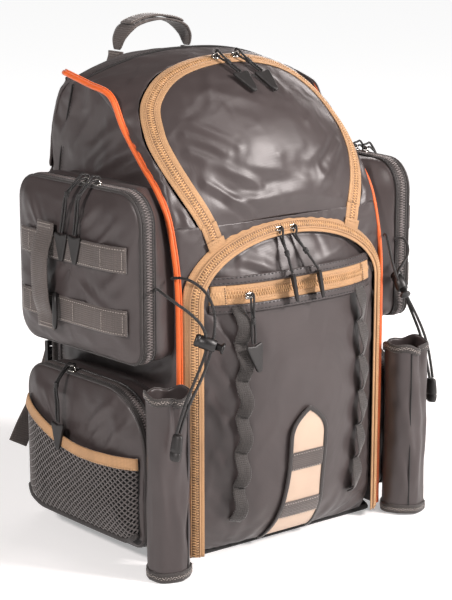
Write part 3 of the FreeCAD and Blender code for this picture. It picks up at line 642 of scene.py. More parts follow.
def upper_outline(inset, count, low=0.0):
    """Half-width outline of the upper flap drawn in by inset, as (u, v) from left to right."""
    right = [vec((u, v, 0)) for u, v in UPPER_OUTLINE]
    if low:
        right = [vec((97 + low * 0.55, low, 0)), *right]
    left = [vec((-p[0], p[1], 0)) for p in right[-2::-1]]
    path = smooth_curve((right + left)[::-1], count)
    along = tangents(path)
    inward = np.stack([along[:, 1], -along[:, 0], along[:, 2] * 0], 1)
    return (path + inward * inset)[:, :2]


def on_skin_path(outline, lift=0.0):
    found = [on_plane(u, v, lift) for u, v in outline]
    return np.array([p for p, _ in found]), np.array([n for _, n in found])


def arch(outline, y, count, low=FLAP_BOTTOM):
    """Path of the lower zip, from its left foot over the arch to its right foot."""
    half, height = outline
    legs = np.linspace(low, ARCH_SPRING, 14)[:-1]
    left = [(-half, y, z) for z in legs]
    top = [(-half * math.cos(a), y, ARCH_SPRING + height * math.sin(a)) for a in np.linspace(0, math.pi, 60)]
    right = [(half, y, z) for z in legs[::-1]]
    return resample(left + top + right, count=count)


def arch_top(x):
    return ARCH_SPRING + ARCH_INNER[1] * math.sqrt(max(0.0, 1 - min(1.0, abs(x) / ARCH_INNER[0]) ** 2))


def flap_y(x, z):
    """Outer face of the stuffed lower flap."""
    t = min(1.0, max(0.0, (z - FLAP_BOTTOM) / (arch_top(x) - FLAP_BOTTOM)))
    edge = FLAP_EDGE_Y + (FLAP_HEM_Y - FLAP_EDGE_Y) * max(0.0, 1 - t / 0.15) ** 2
    along = abs(math.sin(math.pi * t ** 0.9)) ** 0.6
    across = 1 - min(1.0, abs(x) / ARCH_INNER[0]) ** (2.0 + 3.2 * t)
    return edge - FLAP_CROWN * along * across


def on_flap(x, z, lift=0.0):
    return vec((x, flap_y(x, z) - lift, z))


def flap_normal(x, z):
    dx = on_flap(x + 1, z) - on_flap(x - 1, z)
    dz = on_flap(x, z + 1) - on_flap(x, z - 1)
    return unit(np.cross(dx, dz))


def flap_path(points, lift=0.0):
    normals = np.array([flap_normal(x, z) for x, z in points])
    return np.array([on_flap(x, z) for x, z in points]) + normals * lift, normals


# ---------------------------------------------------------------- zips
def tape_section(width, thick=1.1):
    w = width / 2
    return [(-w, 0), (-w * 0.5, -0.15), (w * 0.5, -0.15), (w, 0), (w, thick * 0.7), (w * 0.92, thick),
            (w * 0.3, thick * 0.9), (-w * 0.3, thick * 0.9), (-w * 0.92, thick), (-w, thick * 0.7)]


TOOTH = capsule(4.4, 1.45, 1.7)


def teeth(name, path, normals, material, side, closed=False, pitch=2.6):
    """One half of a coil zip: teeth across the path, set half a pitch from the other half's."""
    points, ups = resample_with(np.asarray(path, float), np.asarray(normals, float), pitch, closed)
    along, across, up = frames_along(points, ups, closed)
    points = points + along * (pitch * 0.25 * side) + across * (1.1 * side) + up * 1.1
    slant = unit(across + along * 0.12 * side)
    return many(name, TOOTH, points, slant, unit(np.cross(up, slant)), up, material)


def cord_ridge(name, path, normals, offset, material, closed=False):
    """The bed that the teeth are woven into, coloured dark as painted shade in the gaps between the teeth,
    and the tape's sewn edge beside it.
    """
    _, across, up = frames_along(path, normals, closed)
    side = math.copysign(1, offset)
    bed = sweep(f"{name}_bed", path + across * (1.9 * side) + up * 0.6, normals, strap_section(3.8, 0.5),
                "shaded_coil_bed" if material == "tan" else "dark_nylon", closed)
    edge = sweep(name, path + across * (4.0 * side) + up * 0.7, normals, round_section(0.85, 6), material,
                 closed)
    return joined(f"{name}_both", [bed, edge])


# ---------------------------------------------------------------- upper flap, yoke, gusset and top
def make_top():
    count = 97
    reach = UPPER_OUTLINE[0][0] - 2 * TAPE
    hinge = [(-reach + 2 * reach * i / (count - 1), 0.0) for i in range(count)]
    inner = upper_outline(2 * TAPE - 2.5, count)
    inner[0], inner[-1] = hinge[0], hinge[-1]
    rows = []
    for share in np.linspace(0, 1, 61):
        uv = [(h[0] * (1 - share) + o[0] * share, max(0.0, h[1] * (1 - share) + o[1] * share))
              for h, o in zip(hinge, inner)]
        rows.append([on_plane(u, v)[0] for u, v in uv])

    def fade(v, u):
        return min(1.0, min(u, 1 - u) / 0.08, (1 - v) / 0.12)

    grid = wrinkled(rows, 0.5, 52, 3.0, (0.7, 1.5, 1.5), fade)
    grid = wrinkled(grid, 0.2, 22, 7.0, (0.5, 1.3, 1.3), fade)
    grid = add_bulge_fold(grid)
    folds = [(-84, 40, -40, 6, 4, 3.2), (-90, 70, -30, 28, 5, 3.0), (-86, 104, -44, 66, 5, 2.0),
             (86, 62, 44, 20, 5, 2.6), (92, 86, 34, 44, 6, 2.4), (84, 116, 48, 84, 5, 2.0),
             (-34, 152, -52, 116, 5, 1.8),
             (20, 156, 40, 120, 5, 1.8), (-40, 48, 24, 30, 6, 1.2), (6, 16, 70, 10, 6, 2.0),
             (-62, 20, -10, 14, 5, 1.8),
             (-58, 132, -8, 108, 7, 1.6), (-88, 88, -56, 62, 4, 2.0), (92, 68, 58, 42, 4, 2.2),
             (70, 130, 36, 106, 5, 1.6)]
    grid = pleats(grid, [(on_plane(*f[:2])[0], on_plane(*f[2:4])[0], *f[4:]) for f in folds], FLAP_OUT)
    panel = sheet_of("upper_flap_panel", grid, "nylon", 3.0, slack=0.02)
    finish_piece(panel, "upper_flap", "shell_fabric", "upper_flap")
    frame_tape, flap_tape = zip_pair("upper_zip", upper_zip_path, "tan", "tan_coil")
    finish_piece(frame_tape, "bag", "tan_trim", "upper_zip_frame_tape")
    finish_piece(flap_tape, "upper_flap", "tan_trim", "upper_zip_flap_tape")
    make_zip_tails()
    make_gusset()
    make_yoke()
    make_top_panel()


def add_bulge_fold(grid):
    """Soft rolls of slack cloth that lie across the flap just above its hinge."""
    out = grid.copy()
    rows, columns = grid.shape[:2]
    for r in range(rows):
        for c in range(columns):
            x, z = grid[r, c][0], grid[r, c][2] - HINGE_Z
            middle = math.cos(min(1.0, abs(x) / 95) * math.pi / 2)
            roll = 2.2 * math.exp(-((z - 22 - x * 0.12) / 9)
                                  ** 2) - 1.3 * math.exp(-((z - 36 - x * 0.16) / 8) ** 2)
            out[r, c][1] -= roll * middle
    return out


def upper_zip_path(inset, count=170):
    return on_skin_path(upper_outline(inset, count))


def zip_pair(name, path_at, tape, coil, width=TAPE):
    """The two halves of a zip round an opening: the bag's tape and the flap's tape, with their teeth."""
    halves = []
    middle, up = path_at(width)
    for label, inset, side in (("frame", width / 2, 1), ("flap", width * 1.5, -1)):
        line, normals = path_at(inset)
        parts = [sweep(f"{name}_{label}_tape", line, normals, tape_section(width - 1.0), tape),
                 teeth(f"{name}_{label}_teeth", middle, up, coil, side),
                 cord_ridge(f"{name}_{label}_edge", middle, up, side, tape),
                 stitches(f"{name}_{label}_stitch", line + unit(normals) * 0.9, normals, f"{tape}_thread"
                          if tape == "tan" else "dark_thread", 3.0)]
        halves.append(joined(f"{name}_{label}", parts))
    return halves


def make_zip_tails():
    """The tan ends of the upper zip, which run on down the yoke and under the lower zip."""
    for side, sign in SIDES:
        centre = [((97 - TAPE) * sign, 4.0), ((93 - TAPE) * sign, -8), ((88 - TAPE) * sign, -21),
                  ((85 - TAPE) * sign, -28)]
        middle = smooth_curve([(u, v, 0) for u, v in centre], 30)[:, :2]
        line, normals = on_skin_path(middle, 0.1)
        _, across, _ = frames_along(line, normals)
        parts = []
        for k in (-1, 1):
            parts.append(sweep(f"tail_{side}_{k}", line + across * (k * TAPE / 2), normals,
                               tape_section(TAPE - 1), "tan"))
            parts.append(teeth(f"tail_teeth_{side}_{k}", line, normals, "tan_coil", k))
            parts.append(cord_ridge(f"tail_bed_{side}_{k}", line, normals, k, "tan"))
        parts.append(sweep(f"tail_tab_{side}", line[12:] + normals[12:] * 1.6, normals[12:],
                           strap_section(2 * TAPE + 1, 1.2), "tan"))
        tack = np.array([line[14] + across[14] * k + normals[14] * 2.9 for k in np.linspace(-8, 8, 8)])
        parts.append(stitches(f"tail_tack_{side}", tack, normals[14], "tan_thread", 2.4))
        finish_piece(joined(f"upper_zip_tail_{side}", parts), "bag", "tan_trim")


def skin_station(point):
    """The station t whose outline passes nearest to a point of the bag's top."""
    ts = np.linspace(1.5, 9.0, 151)
    gaps = [np.linalg.norm((skin(point[0], t) - point)[1:]) for t in ts]
    return ts[int(np.argmin(gaps))]


def make_gusset():
    """Dark panel between the upper zip and the piping, and up to the seam across the top."""
    count = 121
    outline = upper_outline(-0.4, count)
    inner = [on_plane(u, v)[0] for u, v in outline]
    stations = [skin_station(p) for p in inner]
    edge_x = HALF_WIDTH + ROUND
    low = skin_station(vec((0, HINGE_Y, HINGE_Z + 1)))
    rows = 11
    grid = np.zeros((rows, count, 3))
    for c, (p, t) in enumerate(zip(inner, stations)):
        s = 2 * c / (count - 1) - 1
        outward = max(0.0, (abs(s) - 0.3) / 0.7)
        target_x = edge_x * max(-1.0, min(1.0, s / 0.3))
        target_t = low + (SEAM_T - low) * (1 - outward) ** 0.9
        for r in range(rows):
            k = r / (rows - 1)
            grid[r, c] = skin(p[0] * (1 - k) + target_x * k, t * (1 - k) + target_t * k)
    grid = wrinkled(grid, 2.2, 34, 9.0, (1, 1, 1), lambda v, u: min(1.0, v / 0.15, (1 - v) / 0.15))
    folds = [(-113, 20, -100, -12, 5, 2.6), (-118, 60, -122, 10, 5, 2.6), (-122, 104, -124, 60, 5, 2.4),
             (-112, 138, -124, 100, 5, 2.2), (113, 20, 100, -12, 5, 2.4), (118, 60, 122, 10, 5, 2.4)]
    grid = pleats(grid, [(on_plane(*f[:2])[0], on_plane(*f[2:4])[0], *f[4:]) for f in folds], FLAP_OUT)
    gusset = sheet_of("upper_gusset_panel", grid, "nylon", 2.5, slack=0.03)
    finish_piece(gusset, "bag", "shell_fabric", "upper_gusset")


def make_yoke():
    """Front panel between the lower zip's arch and the upper flap."""
    columns = []
    for x in np.concatenate([np.linspace(-HALF_WIDTH - ROUND, -116, 5), np.linspace(-112, 112, 57),
                             np.linspace(116, HALF_WIDTH + ROUND, 5)]):
        inside = min(abs(x), 119.9)
        bottom = ARCH_SPRING - 2 + (ARCH_OUTER[1] - 1) * math.sqrt(1 - (inside / 120.5) ** 2)
        column = []
        for z in np.linspace(bottom, HINGE_Z - 0.5, 12):
            t = catmull_station(x, z)
            column.append(skin(x, t))
        columns.append(column)
    grid = wrinkled(np.array(columns).transpose(1, 0, 2), 0.8, 30, 21.0)
    yoke = sheet_of("front_yoke_panel", grid, "nylon", 2.5, slack=0.03)
    finish_piece(yoke, "bag", "shell_fabric", "front_yoke")


def catmull_station(x, z):
    ts = np.linspace(0, 4, 161)
    heights = [skin(x, t)[2] for t in ts]
    return float(np.interp(z, heights, ts))


def make_top_panel():
    """Top panel from its seam over to the back, with the seam's ridge and stitches."""
    xs = np.concatenate([np.linspace(-HALF_WIDTH - ROUND, -116, 5), np.linspace(-110, 110, 41),
                         np.linspace(116, HALF_WIDTH + ROUND, 5)])
    grid = [[skin(x, t) for x in xs] for t in np.linspace(SEAM_T, 11, 27)]
    grid = wrinkled(grid, 1.6, 42, 31.0, (1, 1, 1.4), edge_fade(0.08))
    panel = sheet_of("top_panel_cloth", grid, "nylon", 2.5, slack=0.03)
    finish_piece(panel, "bag", "shell_fabric", "top_panel")
    seam = np.array([skin(x, SEAM_T - 0.02) for x in np.linspace(-HALF_WIDTH - 6, HALF_WIDTH + 6, 70)])
    normal = unit(vec((0, -0.2, 1)))
    parts = [sweep("top_seam_roll", seam + normal * 0.3, normal, round_section(1.1, 8), "dark_nylon"),
             stitches("top_seam_stitch", seam + vec((0, 5, 0.4)), normal, "dark_thread")]
    finish_piece(joined("top_seam", parts), "bag", "shell_fabric")


# ---------------------------------------------------------------- sides, base, back
def make_sides():
    route = smooth_curve([(SIDE_FACE + 1.6, y, z) for y, z in PIPING_ROUTE], 120)[::-1]
    back = smooth_curve([(0, 105, 9), (0, 105, 150), (0, 105, 350), (0, 101, 388), (0, 88, 424),
                         (0, 70, 440)], 120)
    for side, sign in SIDES:
        columns = []
        for k, (front, rear) in enumerate(zip(route, back)):
            column = []
            for share in np.linspace(0, 1, 25):
                y, z = (front[1:] * (1 - share) + rear[1:] * share)
                swell = 5.0 * math.sin(math.pi * min(1.0, k / 119)) * math.sin(math.pi * share) ** 0.7
                corner = 6.0 * max(0.0, (share - 0.93) / 0.07) ** 2
                column.append((sign * (SIDE_FACE - 1.2 + swell * 0.5 - corner), y, z))
            columns.append(column)
        grid = wrinkled(np.array(columns).transpose(1, 0, 2), 2.2, 38, 12.0 + sign, (1, 1, 0.8),
                        edge_fade(0.06))
        folds = [(-66, 372, -20, 356, 5, 2.6), (-44, 388, 10, 360, 6, 3.0), (-20, 404, 34, 366, 6, 3.0),
                 (14, 420, 54, 372, 6, 3.0), (48, 428, 74, 380, 5, 2.6), (30, 356, 80, 330, 5, 2.4),
                 (-104, 196, -70, 176, 5, 2.6), (-96, 184, -40, 172, 5, 2.4), (0, 190, 50, 174, 5, 2.4)]
        x = sign * SIDE_FACE
        grid = pleats(grid, [((x, *f[:2]), (x, *f[2:4]), *f[4:]) for f in folds], X * sign)
        panel = sheet_of(f"side_panel_{side}", grid, "nylon", 1.8, slack=0.03)
        seam = smooth_curve([(sign * (SIDE_FACE + 1), y, z) for y,
                             z in ((56, 436), (70, 392), (83, 342), (86, 200),
                                                                        (86, 20))], 90)
        parts = [panel, sweep(f"side_seam_{side}", seam, vec((sign, 0, 0)), round_section(1.0, 8),
                              "dark_nylon"),
                 stitches(f"side_stitch_{side}", seam + vec((sign * 0.8, -4, 0)), vec((sign, 0, 0)),
                          "dark_thread")]
        whole = joined(f"side_cloth_{side}", parts)
        finish_piece(whole, "bag", "shell_fabric", *(["side_panels"] if sign > 0 else []))
        pipe = route * vec((sign, 1, 1))
        if sign > 0:
            pipe[:, 2] -= 7.0 * np.clip((pipe[:, 1] + 80) / 60, 0, 1)
        normal = vec((sign, 0, 0))
        flange = [(-3.6, -2.0), (0, -2.6), (3.6, -2.0), (3.0, -1.0), (0, -1.2), (-3.0, -1.0)]
        parts = [sweep(f"piping_cord_{side}", pipe, normal, round_section(2.5, 14), "orange"),
                 sweep(f"piping_flange_{side}", pipe, normal, flange, "orange")]
        nodes = ["side_piping"] if sign > 0 else []
        finish_piece(joined(f"orange_piping_{side}", parts), "bag", "orange_piping", *nodes)


def box_grid_back():
    """Padded back panel: vertical channels between sewn lines."""
    xs, zs = np.linspace(-HALF_WIDTH + 1, HALF_WIDTH - 1, 73), np.linspace(6, 349, 61)
    rows = []
    for z in zs:
        row = []
        for x in xs:
            u, v = abs(x) / 119, (z - 6) / 343
            channel = abs(math.sin(math.pi * (x + 121) / 60.5)) ** 0.45
            level = abs(math.sin(math.pi * min(1.0, v) * 3)) ** 0.35
            edge = min(1.0, (1 - u) / 0.08) * min(1.0, min(v, 1 - v) / 0.04)
            row.append((x, 101 + 6.0 * channel * level * edge, z))
        rows.append(row)
    return rows


def make_back():
    pad = sheet_of("back_padding", box_grid_back(), "spacer", 6.0)
    finish_piece(pad, "bag", "padded_mesh", "back_panel")
    edge = [(x * (HALF_WIDTH - 2), 102, z) for x, z in ((-1, 8), (-1, 348), (1, 348), (1, 8))]
    line = resample(edge, step=8)
    piece = sweep("back_binding", line, Y, strap_section(9, 2.4), "black_webbing")
    finish_piece(piece, "bag", "padded_mesh")
    outline = [(-1, -107), (1, -107), (1, 105), (-1, 105)]
    base = []
    for inset, z in ((2.5, 0.0), (0.4, 1.6), (0.0, 4.0), (0.8, 6.5)):
        ring = [(sx * (SIDE_FACE - inset), y + (inset if y < 0 else -inset), z) for sx, y in outline]
        base.append(resample(ring, count=72, closed=True))
    centre = np.array(base[0]).mean(0)
    bottom = [base[0] * s + centre * (1 - s) for s in (0.02, 0.5, 0.95)]
    piece = mesh_object("base_cloth", np.vstack(bottom + base), grid_faces(7, 72, True), "dark_nylon")
    finish_piece(piece, "bag", "shell_fabric", "base_panel")


# ---------------------------------------------------------------- lower flap
def make_lower_flap():
    columns = [ARCH_INNER[0] * math.sin(a) for a in np.linspace(-math.pi / 2, math.pi / 2, 81)]
    rows = 0.5 - 0.5 * np.cos(np.linspace(0, math.pi, 91))
    grid = []
    for t in rows:
        grid.append([on_flap(x, FLAP_BOTTOM + t * (arch_top(x) - FLAP_BOTTOM)) for x in columns])
    grid = lower_folds(np.array(grid))
    folds = [(-96, 262, -72, 226, 4, 3.2), (-97, 238, -74, 196, 4.5, 3.4), (-97, 204, -78, 160, 4.5, 3.0),
             (-97, 164, -80, 124, 4, 2.6), (-96, 120, -82, 84, 4, 2.2), (-96, 70, -60, 30, 5, 2.4),
             (96, 236, 80, 200, 4, 2.4),
             (96, 190, 82, 150, 4, 2.2), (96, 130, 82, 96, 4, 2.0), (-52, 10, -34, 34, 5, 2.0),
             (40, 10, 56, 40, 5, 2.2),
             (-60, 288, -20, 272, 5, 2.4), (66, 286, 30, 276, 5, 2.0), (-84, 274, -52, 270, 4, 2.2)]
    grid = pleats(grid, [(on_flap(*f[:2]), on_flap(*f[2:4]), *f[4:]) for f in folds], -Y)
    reach = 0.055 * (np.abs(grid[..., 0]) / np.abs(grid[..., 0]).max(axis=1, keepdims=True)) ** 12
    grid[..., 0] *= 1 + reach
    grid[-4:, :, 2] += 3.0
    panel = sheet_of("lower_flap_panel", grid, "nylon", 3.4, slack=0.015)
    finish_piece(panel, "lower_flap", "shell_fabric", "lower_flap")
    frame_tape, flap_tape = lower_zip()
    finish_piece(frame_tape, "bag", "tan_trim", "lower_zip_frame_tape")
    finish_piece(flap_tape, "lower_flap", "tan_trim", "lower_zip_flap_tape")


def lower_folds(grid):
    """Pulls that fan in from the side zips, and slack along the foot."""
    out = wrinkled(grid, 1.0, 40, 40.0, (1, 1, 0.7), edge_fade(0.05))
    rows, columns = out.shape[:2]
    for r in range(rows):
        for c in range(columns):
            x, _, z = grid[r, c]
            side = abs(x) / ARCH_INNER[0]
            pull = math.sin((z + 26 * side * (1 if x < 0 else 0.7) + 6 * fold((x, 0, z), 60, 2)) / 8.2)
            reach = math.exp(-((side - 0.86) / 0.13) ** 2) * max(0.0, fold((x * 0.3, 0, z), 34, 8) + 0.55)
            out[r, c][1] -= 1.5 * pull * reach * min(1.0, (1 - side) / 0.04)
    return out


def lower_zip():
    """The tan zip round the lower flap: the bag's tape slopes back to the piping."""
    count = 230
    front = unit(vec((0, -1, 0)))
    lines = {"frame": ((117.4, 65.0), -116.6, 10.0, 0.95, 1), "flap": ((108.6, 58.6), -123.2, 9.0, 0.5, -1)}
    middle = arch((112.6, 61.6), -121.9, count, 8)
    fronts = np.tile(front, (count, 1))
    _, across, _ = frames_along(middle, front)
    leaning = unit(fronts + across * 0.7)
    halves = []
    for label, (outline, y, width, slope, side) in lines.items():
        line = arch(outline, y, count, 8)
        _, across, _ = frames_along(line, front)
        normals = unit(fronts + across * slope)
        parts = [sweep(f"lower_zip_{label}_tape", line, normals, tape_section(width), "tan"),
                 teeth(f"lower_zip_{label}_teeth", middle, leaning, "tan_coil", side),
                 cord_ridge(f"lower_zip_{label}_edge", middle, leaning, side, "tan"),
                 stitches(f"lower_zip_{label}_stitch", line + normals * 0.9 - across * (2.5 * side), normals,
                          "tan_thread", 3.0)]
        halves.append(joined(f"lower_zip_{label}", parts))
    return halves


def make_flap_trim():
    xs = np.linspace(-POCKET_ZIP_X, POCKET_ZIP_X, 80)
    z = POCKET_ZIP_Z
    parts = []
    for side, centre in ((1, z - 4.9), (-1, z + 4.9)):
        line, normals = flap_path([(x, centre) for x in xs], 0.2)
        parts.append(sweep(f"front_zip_tape_{side}", line, normals, tape_section(8.6), "tan"))
        parts.append(stitches(f"front_zip_stitch_{side}", line + normals * 1.0, normals, "tan_thread", 3.0))
    line, normals = flap_path([(x, z) for x in xs], 0.4)
    parts += [teeth(f"front_zip_teeth_{k}", line, normals, "tan_coil", k) for k in (-1, 1)]
    for sign in (-1, 1):
        line, normals = flap_path([(sign * x, z) for x in np.linspace(82, 96, 6)], 1.2)
        parts.append(sweep(f"front_zip_stop_{sign}", line, normals, strap_section(17.5, 0.8), "tan"))
        line, normals = flap_path([(sign * 83, z + k) for k in np.linspace(-8, 8, 8)], 2.2)
        parts.append(stitches(f"front_zip_stop_stitch_{sign}", line, normals, "dark_thread", 2.2))
    finish_piece(joined("front_pocket_zip_tape", parts), "lower_flap", "tan_trim", "front_pocket_zip")
    parts = []
    for centre, height in ((z + 12.5, 8.0), (z - 12.5, 8.0)):
        line, normals = flap_path([(x, centre) for x in xs], 0.8)
        parts.append(sweep(f"front_welt_{height + centre}", line, normals, strap_section(height, 1.8),
                           "nylon"))
        for row in (-2.0, 2.4):
            line, normals = flap_path([(x, centre + row) for x in xs], 2.7)
            parts.append(stitches(f"front_welt_stitch_{centre + row}", line, normals, "dark_thread", 4.2,
                                  size=1.0))
    finish_piece(joined("front_pocket_welts", parts), "lower_flap", "shell_fabric")
    make_patch()
    make_daisy_chains()


PATCH_HALF, PATCH_SHOULDER, PATCH_PEAK = 21.0, 112, 29.0


def patch_half(z):
    """Half width of the tan centre patch at a height."""
    if z > PATCH_SHOULDER:
        return PATCH_HALF * (1 - ((z - PATCH_SHOULDER) / PATCH_PEAK) ** 2.4)
    return PATCH_HALF + 9.0 * max(0.0, (80 - z) / 72.0) ** 1.6


def make_patch():
    heights = np.concatenate([np.linspace(8, PATCH_SHOULDER, 34),
                              PATCH_SHOULDER + PATCH_PEAK * np.sin(np.linspace(0.1, math.pi / 2, 12))])
    grid, left, right = [], [], []
    for z in heights:
        half = max(0.4, patch_half(z))
        grid.append([on_flap(x, z, 2.0 + 0.02 * max(0, 60 - z)) for x in np.linspace(-half, half, 15)])
        left.append((-half, z))
        right.append((half, z))
    parts = [sheet_of("patch_cloth", grid, "patch", 1.0)]
    line, normals = flap_path(resample([(x, z, 0) for x, z in left + right[::-1]], step=3)[:, :2], 1.4)
    parts.append(sweep("patch_binding", line, normals, strap_section(4.4, 1.8), "binding"))
    for low, high in ((80, 99), (30, 48)):
        band = []
        for z in np.linspace(low, high, 7):
            half = patch_half(z) - 1.4
            band.append([on_flap(x, z, 3.0 + 0.02 * max(0, 60 - z)) for x in np.linspace(-half, half, 13)])
        parts.append(sheet_of(f"patch_band_{low}", band, "webbing", 1.0))
        for z in (low + 1.8, high - 1.8):
            half = patch_half(z) - 2
            line, normals = flap_path([(x, z) for x in np.linspace(-half, half, 14)], 3.0)
            parts.append(stitches(f"patch_stitch_{z}", line, normals, "thread", 3.0))
    finish_piece(joined("centre_patch_cloth", parts), "lower_flap", "tan_trim", "centre_patch")


CHAIN_X, CHAIN_LOW, CHAIN_HIGH, CHAIN_LOOPS = 71.5, 38.0, 247.0, 6


def make_daisy_chains():
    """Webbing sewn down at even steps, so that it stands in loops between them."""
    parts = []
    for sign in (-1, 1):
        zs = np.linspace(CHAIN_LOW, CHAIN_HIGH, 97)
        turn = math.pi * CHAIN_LOOPS / (CHAIN_HIGH - CHAIN_LOW)
        line, normals = flap_path([(sign * CHAIN_X + 1.6 * math.sin(2 * turn * (z - CHAIN_LOW) + sign),
                                    z) for z in zs])
        bow = 0.4 + 6.2 * np.abs(np.sin(turn * (zs - CHAIN_LOW))) ** 0.9
        tilt = unit(normals + 0.25 * sign * np.sin(2 * turn * (zs - CHAIN_LOW))[:, None] * X)
        parts.append(sweep(f"chain_{sign}", line + normals * bow[:, None], tilt, strap_section(13.0, 1.3),
                           "black_webbing"))
        for k in range(CHAIN_LOOPS + 1):
            z = CHAIN_LOW + (CHAIN_HIGH - CHAIN_LOW) * k / CHAIN_LOOPS
            z = min(max(z, CHAIN_LOW + 3), CHAIN_HIGH - 3)
            for shift in (-1.1, 1.1):
                tack, ups = flap_path([(sign * CHAIN_X + x, z + shift) for x in np.linspace(-5, 5, 7)], 2.2)
                parts.append(stitches(f"chain_tack_{sign}_{k}_{shift}", tack, ups, "dark_thread", 1.7,
                                      size=1.0))
    finish_piece(joined("daisy_chain_webbing", parts), "lower_flap", "webbing", "daisy_chains")


# ---------------------------------------------------------------- side pockets
def pocket_outline(pocket, inset, x, count=120):
    """Rounded outline of a pocket in its own frame, from its lowest front point round to the rear and top."""
    (y0, y1), (z0, z1) = pocket["y"], pocket["z"]
    y0, y1, z0, z1 = y0 + inset, y1 - inset, z0 + inset, z1 - inset
    points = []
    corners = [(y0, z0, 1, 1, math.pi), (y1, z0, -1, 1, 1.5 * math.pi), (y1, z1, -1, -1, 0.0),
               (y0, z1, 1, -1, 0.5 * math.pi)]
    for (y, z, dy, dz, start), corner in zip(corners, pocket["corners"]):
        r = max(3.0, corner - inset)
        for a in np.linspace(start, start + math.pi / 2, 12):
            points.append((x, y + dy * r + r * math.cos(a), z + dz * r + r * math.sin(a)))
    return resample(points, count=count, closed=True)


def outline_normals(path):
    """Outward directions of a closed outline in the YZ plane."""
    along = tangents(path, True)
    return unit(np.cross(along, X))


def flare(pocket, sign):
    """Placement that turns a right-hand pocket about its front outer corner, mirrored for the left."""
    pivot = Matrix.Translation((pocket["face"], pocket["y"][0], 0))
    turn = pivot @ Matrix.Rotation(-math.radians(pocket["yaw"]), 4, "Z") @ pivot.inverted()
    return Matrix.Diagonal((sign, 1, 1, 1)) @ turn


def pocket_gusset(label, pocket, side, sign):
    """The fixed wall between the bag and the zip, with the bag's half of the zip."""
    rim = pocket["rim"]
    depth = [(SIDE_FACE - 14, 0.0), (SIDE_FACE - 5, -0.4), (SIDE_FACE + 1, -0.6), (SIDE_FACE + 5, 0.8),
             (rim - 17.5, 2.0),
             (rim - 13, 1.6), (rim - 9, 0.7), (rim - 6.0, 0.2)]
    rings = []
    for x, puff in depth:
        ring = pocket_outline(pocket, 0.8, x)
        rings.append(ring + outline_normals(ring) * puff)
    rings = np.array(rings)
    for r in range(1, len(depth) - 1):
        ups = outline_normals(rings[r])
        for c in range(rings.shape[1]):
            rings[r, c] += ups[c] * 1.5 * fold(rings[r, c], 26, 50 + sign, (1.6, 1, 1))
    rings = behind_piping(rings, rim)
    middle = (SIDE_FACE, sum(pocket["y"]) / 2, sum(pocket["z"]) / 2)
    wall = sheet_of(f"{label}_wall_{side}", rings, "nylon", 2.0, True, centre=middle)
    tape_line = pocket_outline(pocket, 0.4, rim - 3.2)
    middle = pocket_outline(pocket, 0.2, rim + 0.25)
    ups, mids = outline_normals(tape_line), outline_normals(middle)
    parts = [wall, sweep(f"{label}_tape_{side}", tape_line, ups, tape_section(6.6), "binding", closed=True),
             teeth(f"{label}_teeth_{side}", middle, mids, "grey_coil", -1, True),
             stitches(f"{label}_stitch_{side}", tape_line + ups * 1.0 - X * 1.6, ups, "dark_thread", 3.2,
                      closed=True),
             sweep(f"{label}_seam_{side}", pocket_outline(pocket, 0.0, rim - 7), ups, round_section(1.0, 8),
                   "dark_nylon", closed=True)]
    return parts


def behind_piping(rings, rim):
    """The wall's front and top draw back to meet the bag behind its piping."""
    heights, depths = zip(*[(z, y) for y, z in reversed(PIPING_ROUTE)])
    out = rings.copy()
    share = np.clip((rim - 9 - rings[..., 0]) / (rim - 9 - SIDE_FACE), 0, 1) ** 0.7
    room = np.interp(rings[..., 2], heights, depths) + 5.0 - rings[..., 1]
    out[..., 1] += np.maximum(0.0, room) * share
    return out


